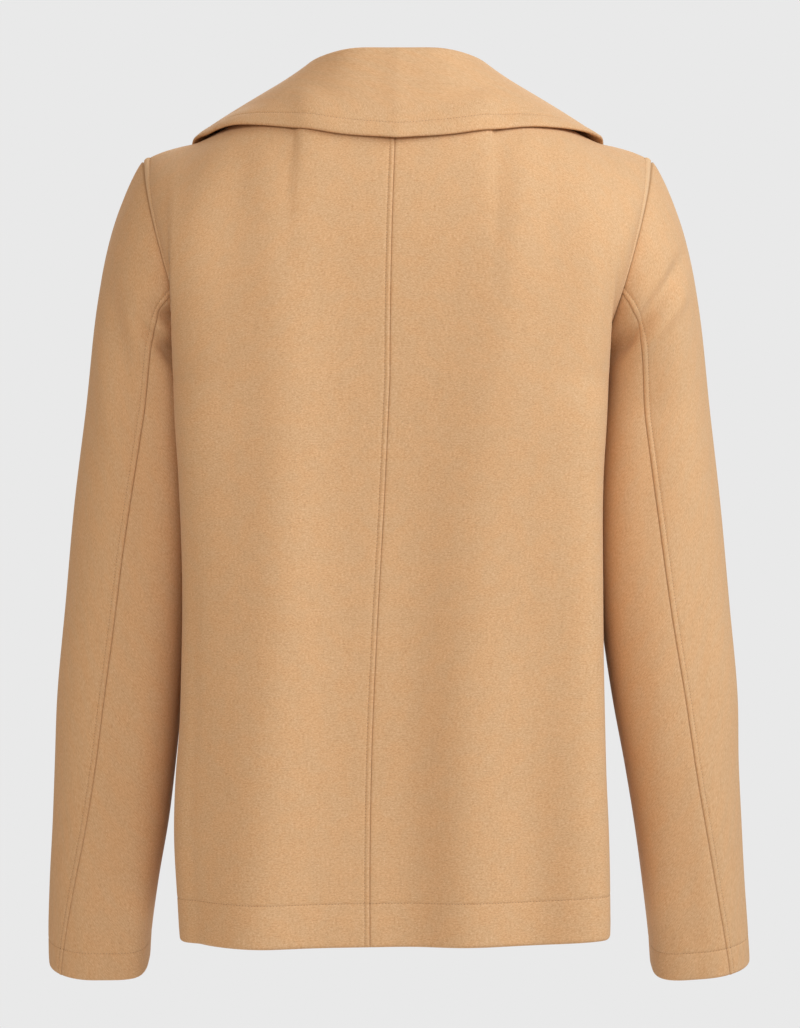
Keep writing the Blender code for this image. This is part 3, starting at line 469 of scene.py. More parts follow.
# Each lamp's name, place, width, power and tint.
LAMPS = (
    ("key", (0.0, 3.2, 1.0), 1.6, 44.0, (0.945, 0.972, 1.0)),
    ("right", (-1.6, 0.8, 1.0), 1.6, 36.5, (0.80, 0.90, 1.0)),
    ("left", (3.2, 0.4, 0.4), 1.6, 4.8, (1.0, 0.75, 0.45)),
    ("front", (0.0, -2.8, 1.2), 1.8, 50.0, (1.0, 1.0, 1.0)),
)


def ease(u):
    """Smooth step from 0 to 1."""
    u = np.clip(u, 0, 1)
    return u * u * (3 - 2 * u)


def mix(a, b, share):
    return a + (b - a) * share


def bump(off, wide):
    """A soft rise of height 1 that fades out over a width to both sides."""
    return np.exp(-((off / wide) ** 2))


def stack(x, y, z):
    return np.stack(np.broadcast_arrays(x, y, z), axis=-1)


# ---- The body's form ----


def folds(x, z):
    """How proud of the plain form the back's folds stand."""
    total = np.zeros(np.broadcast(x, z).shape)
    for fold in FOLDS:
        total = total + fold("proud", z) * bump(x - fold("x", z), fold("wide", z))
    return total


def ring(angle, z):
    """The body's level section at z, where angle 0 is the left side and 90 degrees the back."""
    along, out = np.cos(angle), np.sin(angle)
    deep = np.where(out > 0, BODY("back", z), BODY("front", z))
    power = mix(FRONT_BOXINESS, BODY("box", z), ease(out * BACK_BLEND))
    reach = (abs(along / BODY("half", z)) ** power + abs(out / deep) ** power) ** (-1 / power)
    x = BODY("middle", z) + reach * along
    y = reach * out
    pressed = ease((y - PRESSED_FROM) / PRESS_EASE) * ease((PRESSED_TO - y) / PRESS_EASE)
    past = abs(x) - BODY("side", z)
    past = (past + np.sqrt(past**2 + PRESS_ROUND**2)) / 2
    x = x - np.sign(x) * past * pressed
    return x, y + folds(x, z) * ease(out * FOLD_BLEND)


def side_angle(side, z):
    """The side seam's angle, for the left side (1) or the right (-1)."""
    if side > 0:
        return np.radians(SEAMS("left_side", z))
    return np.pi - np.radians(SEAMS("right_side", z))


def centre_back_angle(z):
    return np.pi / 2 - (SEAMS("centre_back", z) - BODY("middle", z)) / BODY("back", z)


def edge_angle(x, z):
    """The angle at which the front's level section passes x."""
    off = x - BODY("middle", z)
    deep = BODY("front", z) * (1 - abs(off / BODY("half", z)) ** FRONT_BOXINESS) ** (1 / FRONT_BOXINESS)
    return np.arctan2(-deep, off)


def top_of(x, back):
    """Where the column that ends x out meets the shoulder seam or the neckline."""
    out = abs(x)
    inside = np.clip(out / NECK_SIDE, 0, 1)
    round_neck = np.sqrt(1 - inside**2)
    if back:
        neck_y, neck_z = NECK_BACK * round_neck, NECK_SIDE_UP * inside**2
    else:
        neck_y, neck_z = -NECK_FRONT * round_neck, mix(NECK_FRONT_UP, NECK_SIDE_UP, inside**2)
    on_shoulder = out >= NECK_SIDE
    return np.where(on_shoulder, 0, neck_y), np.where(on_shoulder, SHOULDER_LINE("z", out), neck_z)


def upper(label, angle, up, back):
    """The body above the underarm: up runs from 0 at the underarm to 1 at the shoulder seam or
    neckline, and label from 0 at the centre to 1 at the armhole."""
    armhole = ARMHOLE_BACK if back else ARMHOLE_FRONT
    side = np.where(np.cos(angle) < 0, -1.0, 1.0)
    low_x, low_y = ring(angle, np.full_like(up, UNDERARM))
    top_x = side * COLUMN_TOPS("x", label)
    off_centre = SEAMS("centre_back", UNDERARM)
    top_x = np.where(label < NECK_LABEL,
                     mix(low_x - off_centre, top_x, ease(label / NECK_LABEL)), top_x)
    top_y, top_z = top_of(top_x, back)
    roll = np.clip(1 - up**ROLL_POWER, 0, 1) ** (BACK_ROUND if back else FRONT_ROUND)
    x = mix(low_x, top_x, up**2)
    y = mix(top_y, low_y, roll)
    z = mix(UNDERARM, top_z, up)
    pull = ease((label - ARMHOLE_PULL_FROM) / (1 - ARMHOLE_PULL_FROM))
    plain_x = mix(armhole("x", 0.0), SHOULDER, up**2)
    plain_z = mix(UNDERARM, armhole("z", 1.0), up)
    return (
        x + side * pull * (armhole("x", up) - plain_x),
        y + pull * armhole("y", up),
        z + pull * (armhole("z", up) - plain_z),
    )


def body(angle_at, label, rise, back):
    """A point of the body form. rise runs from 0 at the hem to 1 at the underarm and 2 at the
    top, and angle_at gives the column's angle at a height."""
    z = mix(HEM, UNDERARM, np.clip(rise, 0, 1))
    low_x, low_y = ring(angle_at(z), z)
    up = np.clip(rise - 1, 0, 1)
    angle = angle_at(np.full_like(z, UNDERARM))
    high = upper(label, angle, up, back)
    low = rise <= 1
    near_hem = np.clip(1 - rise, 0, 1) ** 2
    lift = HEM_LIFT * ease((abs(low_x) - HEM_LIFT_FROM) / HEM_LIFT_RUN)
    low_z = z + (lift - HEM_TILT * low_x) * near_hem
    high_y = high[1]
    if back:
        level = np.full_like(angle, UNDERARM)
        fade = folds(high[0], high[2]) - folds(ring(angle, level)[0], level)
        high_y = high_y + fade * (1 - up**3)
    return stack(
        np.where(low, low_x, high[0]),
        np.where(low, low_y, high_y),
        np.where(low, low_z, high[2]),
    )


def back_surface(side):
    """The half back from its centre seam (across = 0) to the side seam (1)."""

    def surface(across, rise):
        def angle_at(z):
            return mix(centre_back_angle(z), side_angle(side, z), across)

        return body(angle_at, across, rise, back=True)

    return surface


def roll_line(side, x):
    """Height of the roll line of the front of that side, at x."""
    top_x, top_z = side * ROLL_TOP[0], ROLL_TOP[1]
    return mix(top_z, BREAK, (x - top_x) / (-side * OVERLAP - top_x))


def front_form(side):
    """The half front from its edge past the centre (across = 0) to the side seam (1), as if it
    went on up to a round neckline."""

    def surface(across, rise):
        def angle_at(z):
            from_edge = edge_angle(-side * OVERLAP, z)
            to_side = side_angle(side, z)
            if side < 0:
                to_side = to_side - 2 * np.pi
            return mix(from_edge, to_side, across)

        level = np.full_like(across, UNDERARM)
        label = abs(angle_at(level) + np.pi / 2) / (np.pi / 2)
        points = body(angle_at, label, rise, back=False)
        if side < 0:
            points[..., 1] -= over_layer(points[..., 0], points[..., 2])
        return points

    return surface


def over_layer(x, z):
    """How far the right front stands off, where it lies over the left front and its lapel."""
    lies_over = ease((x + OVERLAP + LAP_BEHIND) / LAP_RISE) * ease((OVER_TOP - z) / OVER_FADE)
    run = np.hypot(ROLL_TOP[0] + OVERLAP, ROLL_TOP[1] - BREAK)
    from_roll = (roll_line(-1, x) - z) * (ROLL_TOP[0] + OVERLAP) / run
    rolled = 1 - ease((from_roll - ROLL_LIFT_FROM) / ROLL_LIFT_REACH)
    over_lapel = ease((z - BREAK - ROLL_LIFT_ABOVE) / ROLL_LIFT_RISE)
    over_lapel = over_lapel * ease((OVER_TOP - z) / OVER_FADE)
    return UNDER_LAYER * lies_over + ROLL_LIFT * rolled * over_lapel


def front_surface(side):
    """The half front as it is cut: its top is the shoulder, the neckline and the roll line."""
    form = front_form(side)
    places = np.linspace(0, 1, FRONT_PLACES[0])
    steps = np.linspace(0, 2, FRONT_PLACES[1])
    grid = form(places[:, None], steps[None, :])
    tops = np.full(len(places), 2.0)
    for k, column in enumerate(grid):
        inside = side * column[:, 0] < ROLL_TOP[0]
        above = column[:, 2] - roll_line(side, column[:, 0])
        crossed = np.nonzero((above[:-1] < 0) & (above[1:] >= 0) & inside[1:])[0]
        if len(crossed):
            i = crossed[0]
            tops[k] = mix(steps[i], steps[i + 1], -above[i] / (above[i + 1] - above[i]))

    def surface(across, rise):
        return form(across, rise / 2 * np.interp(across, places, tops))

    return surface


# ---- The sleeve's form ----


def armhole_loop(turn):
    """The armhole, by the angle from the shoulder point: 180 degrees is the underarm, and a
    negative angle is on the front."""
    up = 1 - abs(turn) / np.pi
    front = turn < 0
    return [np.where(front, ARMHOLE_FRONT(name, up), ARMHOLE_BACK(name, up)) for name in "xyz"]


def sleeve_ring(side, turn, z):
    """The sleeve's level section at z, where turn 0 is outermost and 90 degrees the back."""
    word = SIDES[side]
    along, out = np.cos(turn), np.sin(turn)
    half, deep = SLEEVE(f"{word}_half", z), SLEEVE("deep", z)
    power = mix(SLEEVE_ROUND, SLEEVE_BOXINESS, ease(-along * INNER_BLEND))
    reach = (abs(along / half) ** power + abs(out / deep) ** power) ** (-1 / power)
    return SLEEVE(f"{word}_x", z) + reach * along, SLEEVE("y", z) + reach * out


def sleeve_point(side, turn, fall):
    """fall runs from 0 at the armhole to 1 at the biceps and 2 at the cuff."""
    down = abs(turn) / np.pi
    start = armhole_loop(turn)
    start[0] = start[0] + SLEEVE_START("off", down)
    sign = np.sign(turn)
    leave = [SLEEVE_START("x", down), sign * SLEEVE_START("y", down), SLEEVE_START("z", down)]
    end_x, end_y = sleeve_ring(side, turn, np.full_like(turn, BICEPS))
    next_x, next_y = sleeve_ring(side, turn, np.full_like(turn, BICEPS - BICEPS_STEP))
    arrive = [(next_x - end_x) / BICEPS_STEP, (next_y - end_y) / BICEPS_STEP, -1.0]
    end = [end_x, end_y, BICEPS]
    length = np.sqrt(sum((b - a) ** 2 for a, b in zip(start, end)))
    u = np.clip(fall, 0, 1)
    high = [curve(u, length, *parts) for parts in zip(start, leave, end, arrive)]
    z = mix(BICEPS, CUFF[side], np.clip(fall - 1, 0, 1))
    low_x, low_y = sleeve_ring(side, turn, z)
    lean = ease((CUFF_LEAN_FROM - z) / CUFF_LEAN_RUN)
    low_z = z - lean * CUFF_LEAN[side] * (low_y - SLEEVE("y", z))
    low_z = low_z + lean * CUFF_TILT[side] * (low_x - SLEEVE(f"{SIDES[side]}_x", z))
    low = fall > 1
    return stack(
        side * np.where(low, low_x, high[0]),
        np.where(low, low_y, high[1]),
        np.where(low, low_z, high[2]),
    )


def sleeve_surface(side, under):
    """The upper sleeve from its front seam (across = 0) over the outside to its back seam (1),
    or the under sleeve from its back seam over the inside to its front seam."""

    def seam(name, at_armhole, fall):
        z = mix(BICEPS, CUFF[side], np.clip(fall - 1, 0, 1))
        high = mix(at_armhole, SLEEVE_SEAMS(name, BICEPS), np.clip(fall, 0, 1))
        return np.radians(np.where(fall > 1, SLEEVE_SEAMS(name, z), high))

    def surface(across, fall):
        back = seam(f"{SIDES[side]}_back", ARMHOLE_SEAM_BACK, fall)
        front = seam("front", ARMHOLE_SEAM_FRONT, fall)
        if under:
            turn = mix(back, front + 2 * np.pi, across)
        else:
            turn = mix(front, back, across)
        turn = np.where(turn > np.pi, turn - 2 * np.pi, turn)
        return sleeve_point(side, turn, fall)

    return surface


# ---- Forms of the laid pieces ----


def seen_from_front(tree, x, z):
    """The foremost place of the cloth at (x, z), and which way it faces there."""
    return tree.ray_cast(Vector((x, -1, z)), Vector((0, 1, 0)))[:2]


def spread_over(places):
    """Even grids of across 0..1 and rise 0..2."""
    return np.meshgrid(np.linspace(0, 1, places[0]), np.linspace(0, 2, places[1]))


def fine_mesh(surface):
    points = surface(*spread_over(BODY_PLACES))
    rows, columns = points.shape[:2]
    corners = [Vector(point) for point in points.reshape(-1, 3)]
    faces = [
        (i * columns + j, i * columns + j + 1, (i + 1) * columns + j + 1, (i + 1) * columns + j)
        for i in range(rows - 1)
        for j in range(columns - 1)
    ]
    return corners, faces


# A point on the body's axis, this far below a place and never higher than twice this, tells the
# outer side of the cloth there. What lies deeper inside the body than DEEPEST stays there.
SHOULDER_CORE = -0.055
DEEPEST = 0.040


class Chest:
    """Finds the place of a piece that lies on the fronts and the backs."""

    def __init__(self, *surfaces):
        corners, faces = [], []
        for surface in surfaces:
            more_corners, more_faces = fine_mesh(surface)
            faces += [tuple(k + len(corners) for k in face) for face in more_faces]
            corners += more_corners
        self.tree = BVHTree.FromPolygons(corners, faces)

    def depths(self, x, z, otherwise=-NECK_FRONT):
        """The y of the front at each (x, z), or otherwise where the front doesn't reach."""
        found = np.broadcast_to(otherwise, x.shape).ravel().copy()
        for k, (a, b) in enumerate(zip(x.ravel(), z.ravel())):
            hit, _ = seen_from_front(self.tree, a, b)
            if hit is not None:
                found[k] = hit.y
        return found.reshape(x.shape)

    def lifted(self, points, clear):
        """The points, moved out where they come nearer to the body than clear or lie inside it."""
        out = points.copy().reshape(-1, 3)
        clears = np.broadcast_to(clear, points.shape[:-1]).ravel()
        for k, point in enumerate(out):
            place, normal, _, _ = self.tree.find_nearest(Vector(point))
            way = Vector(point) - place
            inside = Vector((0, 0, min(place.z, SHOULDER_CORE) + SHOULDER_CORE))
            if normal.dot(place - inside) < 0:
                normal = -normal
            off = way.dot(normal)
            if way.length < clears[k] or off < 0 and way.length < DEEPEST:
                out[k] = Vector(point) + normal * (clears[k] - off)
        return out.reshape(points.shape)


def lapel_width(along):
    to_notch = mix(LAPEL("wide", LAPEL_POINT), NOTCH_WIDE,
                   (along - LAPEL_POINT) / (LAPEL_NOTCH - LAPEL_POINT))
    to_roll = mix(NOTCH_WIDE, 0, (along - LAPEL_NOTCH) / (GORGE - LAPEL_NOTCH))
    return np.where(along < LAPEL_POINT, LAPEL("wide", along),
                    np.where(along < LAPEL_NOTCH, to_notch, to_roll))


def lapel_points(side, chest, along, across):
    """The lapel, along its roll line from the break (0) and across from the fold (0) to the
    outer edge (1). FOLD_SHARE of the way across goes round the fold. The left lapel ends where it
    runs in under the right front's roll line."""
    share = along
    turn = np.pi * np.clip(across / FOLD_SHARE, 0, 1)
    spread = np.clip((across - FOLD_SHARE) / (1 - FOLD_SHARE), 0, 1)
    for _ in range(TUCK_ROUNDS if side > 0 else 0):
        tucked = tuck_line(spread * lapel_width(along))
        along = np.maximum(share, mix(tucked, LAPEL_POINT, share / LAPEL_POINT))
    flat = spread * lapel_width(along)
    curl = LAPEL_CURL[side] * mix(CURL_AT_BREAK, 1.0, ease(along / CURL_RUN))
    rest = CLOTH / 2 + LAYER_GAP + TWO_PLY / 2
    proud = np.where(across < FOLD_SHARE, curl * (1 - np.cos(turn)),
                     rest + (2 * curl - rest) * np.exp(-flat / LAPEL_SETTLE[side]))
    depth = chest.depths(*lapel_place(side, along, flat))
    x, z = lapel_place(side, along, flat - curl * np.sin(turn))
    points = stack(x, depth - proud, z)
    return np.where((across > FOLD_SHARE)[..., None], chest.lifted(points, rest), points)


def lapel_place(side, along, off):
    """(x, z) at a share of the roll line's length and a distance across from it."""
    low = np.array([-side * OVERLAP, BREAK])
    way = np.array([side * ROLL_TOP[0], ROLL_TOP[1]]) - low
    length = np.linalg.norm(way)
    way = way / length
    out = side * np.array([way[1], -way[0]])
    length = length / GORGE
    return (
        low[0] + along * length * way[0] + off * out[0],
        low[1] + along * length * way[1] + off * out[1],
    )


def tuck_line(off):
    """The left lapel's share along its roll line at which a line at that distance across from it
    runs in under the right front."""
    low_x, low_z = lapel_place(1, 0.0, off)
    high_x, high_z = lapel_place(1, 1.0, off)
    low_over = low_z - roll_line(-1, low_x) + TUCK
    high_over = high_z - roll_line(-1, high_x) + TUCK
    return np.clip(low_over / (low_over - high_over), 0, TUCK_MOST)


def collar_section(row, across):
    """One section of the collar, from the neck seam (0) over the crest to the leaf's edge (1),
    as lines that touch the crest's round."""
    neck = np.array([COLLAR(f"neck_{axis}", row) for axis in "xyz"])
    crest = np.array([COLLAR(f"crest_{axis}", row) for axis in "xyz"])
    edge = np.array([COLLAR(f"edge_{axis}", row) for axis in "xyz"])
    centre = crest - np.array([0, 0, CREST_RADIUS])
    out = (edge - centre) * np.array([1, 1, 0])
    out = out / np.linalg.norm(out)
    neck_at = np.array([np.dot(neck - centre, out), neck[2] - centre[2]])
    edge_at = np.array([np.dot(edge - centre, out), edge[2] - centre[2]])

    def touching(point, way):
        far = np.linalg.norm(point)
        return math.atan2(point[1], point[0]) + way * math.acos(min(CREST_RADIUS / far, 1.0))

    leave = touching(edge_at, 1)
    reach = touching(neck_at, -1) % (2 * math.pi)
    stand_end = CREST_RADIUS * np.array([math.cos(reach), math.sin(reach)])
    leaf_start = CREST_RADIUS * np.array([math.cos(leave), math.sin(leave)])
    points = []
    for share in across:
        if share < STAND_SHARE:
            at = mix(neck_at, stand_end, share / STAND_SHARE)
        elif share < LEAF_FROM:
            angle = mix(reach, leave, (share - STAND_SHARE) / (LEAF_FROM - STAND_SHARE))
            at = CREST_RADIUS * np.array([math.cos(angle), math.sin(angle)])
        else:
            leaf = (share - LEAF_FROM) / (1 - LEAF_FROM)
            at = mix(leaf_start, edge_at, leaf)
            at = at + LEAF_BOW_WAY * LEAF_BOW * math.sin(math.pi * leaf)
        place = centre + out * at[0] + np.array([0, 0, at[1]])
        side_slip = (neck - centre) - out * np.dot(neck - centre, out)
        side_slip[2] = 0
        points.append(place + side_slip * max(0.0, 1 - share / STAND_SHARE))
    return np.array(points)


def collar_points(chest, along, across):
    """The left half of the collar. Towards its front end the leaf turns down to the notch."""
    points = np.array([collar_section(row, across) for row in along])
    leaf = np.clip((across - LEAF_FROM) / (1 - LEAF_FROM), 0, 1)
    crest = np.array(COLLAR_END)
    notch = np.array(NOTCH)
    tip = np.array([COLLAR("edge_x", 1.0), COLLAR("edge_z", 1.0)])
    first = np.clip(leaf / NOTCH_SHARE, 0, 1)[:, None]
    second = np.clip((leaf - NOTCH_SHARE) / (1 - NOTCH_SHARE), 0, 1)[:, None]
    end = crest + (notch - crest) * first + (tip - notch) * second
    straight = crest + (tip - crest) * leaf[:, None]
    rest = CLOTH / 2 + COLLAR_GAP + TWO_PLY / 2
    for k, row in enumerate(along):
        turned = ease((row - LEAF_TURNS_FROM) / LEAF_TURNS_RUN)
        laid = ease((row - LEAF_LAID_FROM) / LEAF_LAID_RUN) * ease(leaf / LEAF_LAID_BELOW)
        points[k, :, 0] += turned * (end - straight)[:, 0]
        points[k, :, 2] += turned * (end - straight)[:, 1]
        if laid.max() > 0:
            x, y, z = points[k].T
            points[k, :, 1] = mix(y, chest.depths(x, z, otherwise=y + rest) - rest, laid)
    return points


# ---- Grids of cloth ----


def mm(*values):
    return np.array(values) / 1000


# Distances of grid lines beside an edge: a seam pressed flat, a folded edge, and either of them
# with a line of stitching.
PLAIN_EDGE = mm(0, 0.4, 0.9, 1.6, 2.6, 4.2, 7.5)
FOLDED_EDGE = mm(0, 0.15, 0.5, 1.0, 1.6, 2.4, 3.6, 6.0, 10.0)
AROUND_STITCH = mm(-1.7, -0.9, -0.45, 0, 0.45, 0.9, 2.2, 5.0)
LEAST_APART = 0.0002
MOST_OF_STRIP = 0.42
FAR_OFF = 1.0
LEAST_SINE = 0.5
SINE_ROUNDS = 6

# Distances of the lines of stitching from their edges.
CB_STITCH = 0.0038
ARMHOLE_STITCH = 0.0060
SLEEVE_STITCH = 0.0042
EDGE_STITCH = 0.0125
SHOULDER_STITCH = 0.0050
WELT_STITCH = 0.0050

# How a line of stitching draws the cloth in, how lapped and pressed seams stand, and their painted
# shade and highlight.
STITCH_DEEP = 0.0004
STITCH_DEEP_WIDE = 0.0007
STITCH_SHADE = 0.15
STITCH_SHADE_WIDE = 0.0005
LAP_PROUD = 0.0004
LAP_PROUD_HIGHLIT = 0.0005
LAP_DROP = 0.0011
LAP_DROP_RUN = 0.0003
LAP_SHADE = 0.8
SEAM_DROP = 0.0006
SEAM_DROP_RUN = 0.0007
SEAM_SHADE = 0.7
SEAM_SHADE_RUN = 0.0004
ARMHOLE_HIGHLIGHT = 0.9
SINK_SHARE = 0.15
STITCH_UNEVEN = 0.06


def stitched(edge, stitch):
    """Grid lines beside an edge, with more of them round a line of stitching."""
    around = stitch + AROUND_STITCH
    return np.concatenate([edge[edge < around[0] - LEAST_APART], around])


def running(points, axis):
    """Length of cloth from the first line of a grid to each of the others."""
    steps = np.linalg.norm(np.diff(points, axis=axis), axis=-1)
    return np.concatenate([np.zeros_like(np.take(steps, [0], axis=axis)),
                           np.cumsum(steps, axis=axis)], axis=axis)


def smoothed(values, rounds, axis=0):
    """Values averaged with their neighbours along an axis, a number of times."""
    values = np.moveaxis(np.array(values, float), axis, 0)
    for _ in range(rounds):
        values[1:-1] = (values[:-2] + 2 * values[1:-1] + values[2:]) / 4
    return np.moveaxis(values, 0, axis)


def smoothed_both(values, along, across):
    """Values smoothed so many rounds along their first axis and across it."""
    return smoothed(smoothed(values, along, 0), across, 1)


def leaning(points, edge, inner):
    """Sine of the angle between an edge column of a grid and the rows that run into it."""
    out = points[:, inner] - points[:, edge]
    way = np.gradient(points[:, edge], axis=0)
    sine = np.linalg.norm(np.cross(out, way), axis=-1)
    sine = sine / np.maximum(np.linalg.norm(out, axis=-1) * np.linalg.norm(way, axis=-1), 1e-12)
    return smoothed(np.clip(sine, LEAST_SINE, 1), SINE_ROUNDS)


def spaced(total, low, high, count):
    """Distances of grid lines over a strip of this width, set near its two edges and even
    between."""
    room = min(1.0, MOST_OF_STRIP * total / max(low[-1], high[-1]))
    middle = np.linspace(low[-1] * room, total - high[-1] * room, count)
    return np.concatenate([low[:-1] * room, middle, total - high[-2::-1] * room])


def beside(edge, count):
    """Distance of each grid line from an edge, as far as the lines are set beside it."""
    return np.concatenate([edge, np.full(count - len(edge), FAR_OFF)])


def unit(vectors):
    return vectors / np.maximum(np.linalg.norm(vectors, axis=-1, keepdims=True), 1e-12)


class Cloth:
    """Cloth laid on a surface(across 0..1, rise 0..2), as a grid of points whose lines run beside
    its edges at set distances. low and high are its edges across, foot and head those along."""

    def __init__(self, surface, inside, low, high, foot, head, columns, rows):
        across, rise = spread_over(FORM_PLACES)
        points = surface(across, rise)
        width = running(points, 1)
        lean = leaning(points, 0, 1), leaning(points, -1, -2)
        u = np.array([
            np.interp(spaced(row[-1], low / a, high / b, columns), row, across[0])
            for row, a, b in zip(width, *lean)
        ])
        rise = np.repeat(rise[:, :1], u.shape[1], axis=1)
        points = surface(u, rise)
        length = running(points, 0)
        lean = leaning(points.swapaxes(0, 1), 0, 1), leaning(points.swapaxes(0, 1), -1, -2)
        v = np.array([
            np.interp(spaced(column[-1], foot / a, head / b, rows), column, rise[:, 0])
            for column, a, b in zip(length.T, *lean)
        ]).T
        u = np.array([np.interp(v[:, k], rise[:, 0], u[:, k]) for k in range(u.shape[1])]).T
        self.rise = v
        self.points = surface(u, v)
        normals = unit(np.cross(np.gradient(self.points, axis=1), np.gradient(self.points, axis=0)))
        middle = tuple(k // 2 for k in normals.shape[:2])
        self.turned = np.dot(normals[middle], self.points[middle] - inside) < 0
        self.normals = -normals if self.turned else normals
        self.low = beside(low, u.shape[1])
        self.high = beside(high, u.shape[1])[::-1]
        self.foot = beside(foot, u.shape[0])[:, None]
        self.head = beside(head, u.shape[0])[::-1, None]
        self.ply = CLOTH
        self.form = np.zeros(u.shape)
        self.finish = np.zeros(u.shape)
        # Painted shade where above 0 and painted highlight where below 0, blended into the cloth's
        # colour.
        self.painted_shading = np.zeros(u.shape)
        wide, long = running(self.points, 1), running(self.points, 0)
        self.uv = np.stack([wide - wide[:, -1:] / 2, long], axis=-1)

    def flat(self):
        """Width and length of the cut, to the millimetre above."""
        wide, long = running(self.points, 1)[:, -1].max(), running(self.points, 0)[-1].max()
        return math.ceil(wide * 1000) / 1000, math.ceil(long * 1000) / 1000

    def area(self):
        """Square metres of one layer of the cloth."""
        p = self.points
        cross = np.cross(p[1:, 1:] - p[:-1, :-1], p[1:, :-1] - p[:-1, 1:])
        return float(np.linalg.norm(cross, axis=-1).sum() / 2)

    def sewn(self, off, stitch, where=1.0):
        """A line of stitching that draws the cloth in along itself, with painted shade in its channel.
        """
        self.finish -= where * STITCH_DEEP * bump(off - stitch, STITCH_DEEP_WIDE)
        self.painted_shading += where * STITCH_SHADE * bump(off - stitch, STITCH_SHADE_WIDE)

    def lapped(self, off, stitch, where=1.0, highlight_share=0.0):
        """A seam edge that lies over its neighbour, turned under and topstitched, with painted shade at
        the edge. highlight_share is the painted highlight that makes the strip beside the edge paler
        and prouder."""
        strip = bump(off - stitch * 0.5, stitch * 0.36)
        proud = (LAP_PROUD + LAP_PROUD_HIGHLIT * highlight_share) * strip
        self.finish += where * (proud - LAP_DROP * np.exp(-off / LAP_DROP_RUN))
        self.painted_shading += where * (LAP_SHADE * np.exp(-off / SEAM_SHADE_RUN) - highlight_share * strip)
        self.sewn(off, stitch, where)

    def pressed(self, off, where=1.0, deep=SEAM_DROP):
        """A seam edge pressed flat, that dips where it meets its neighbour, with painted shade in the
        dip.
        """
        self.finish -= where * deep * np.exp(-off / SEAM_DROP_RUN)
        self.painted_shading += where * SEAM_SHADE * np.exp(-off / SEAM_SHADE_RUN)

    def line(self, off, stitch):
        """Points and outward directions of the grid line at a distance from an edge."""
        k = int(np.argmin(abs(off.ravel() - stitch)))
        outer = self.outer()
        if off.ndim == 1:
            return outer[:, k], self.normals[:, k]
        return outer[k], self.normals[k]

    def outer(self):
        return self.points + self.normals * (self.ply / 2 + self.form + self.finish)[..., None]

    def walls(self, further):
        """The outer and inner faces, with the inner one that much further in."""
        inner = self.points - self.normals * (self.ply / 2 + further - self.form)[..., None]
        return self.outer(), inner


def rounded(off, radius):
    """How far a folded edge's face falls back from the flat, at a distance from the edge."""
    return radius * (1 - np.sqrt(np.clip(1 - (1 - np.clip(off / radius, 0, 1)) ** 2, 0, 1)))


# ---- Single folds ----

# The way out of the coat on the side from which a fold is seen.
VIEWS = {"back": np.array([0.0, 1.0, 0.0]), "front": np.array([0.0, -1.0, 0.0])}


def crease_height(points, normals, creases, depth):
    """How proud the creases stand at each point. Each is seen from one side of the coat, runs
    upright or level, and fades where the cloth turns away."""
    total = np.zeros(points.shape[:-1])
    for view, run, rows in creases:
        marks = Table(("at", "off", "proud", "wide"), *rows)
        along, side = (2, 0) if run == "upright" else (0, 2)
        at = points[..., along]
        height = marks("proud", at) * bump(points[..., side] - marks("off", at), marks("wide", at))
        total = total + height * ease(normals @ VIEWS[view] * CREASE_BLEND)
    return total * depth


# ---- Making meshes ----


def shell(name, outer, inner, uv, painted_shading, turned, finish):
    """A closed thin shell between two grids of points, with its cloth lengths as a UV map and its
    painted shade and highlight as an attribute."""
    rows, columns = outer.shape[:2]
    count = rows * columns
    index = np.arange(count).reshape(rows, columns)
    quads = np.stack([index[:-1, :-1], index[:-1, 1:], index[1:, 1:], index[1:, :-1]], -1)
    quads = quads.reshape(-1, 4)
    rim = np.concatenate([index[0], index[1:, -1], index[-1, -2::-1], index[-2:0:-1, 0]])
    after = np.roll(rim, -1)
    sides = np.stack([after, rim, rim + count, after + count], -1)
    faces = np.concatenate([quads, quads[:, ::-1] + count, sides])
    if turned:
        faces = faces[:, ::-1]
    data = bpy.data.meshes.new(name)
    data.vertices.add(2 * count)
    data.vertices.foreach_set("co", np.concatenate([outer, inner]).reshape(-1))
    data.loops.add(faces.size)
    data.loops.foreach_set("vertex_index", faces.reshape(-1).astype(np.int32))
    data.polygons.add(len(faces))
    data.polygons.foreach_set("loop_start", np.arange(0, faces.size, 4, dtype=np.int32))
    data.update(calc_edges=True)
    data.validate()
    places = np.concatenate([uv.reshape(-1, 2)] * 2)[faces.reshape(-1)]
    data.uv_layers.new(name="cloth").data.foreach_set("uv", places.reshape(-1).astype(np.float32))
    # Painted shade and highlight of the cloth, the same on both walls.
    mask = data.attributes.new("shade_highlight_paint", "FLOAT", "POINT")
    flat = np.clip(painted_shading.reshape(-1), -1, 1)
    mask.data.foreach_set("value", np.concatenate([flat, flat]).astype(np.float32))
    data.shade_smooth()
    return placed(name, data, finish)


def placed(name, data, finish):
    if finish is not None:
        data.materials.clear()
        data.materials.append(finish)
    made = bpy.data.objects.new(name, data)
    bpy.context.scene.collection.objects.link(made)
    return made


def dressed(piece, nodes=()):
    """Lets a finished piece move with the coat and stand for its frame nodes."""
    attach(piece, "root")
    if nodes:
        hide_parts(*nodes)
    return piece


# ---- Nodes ----


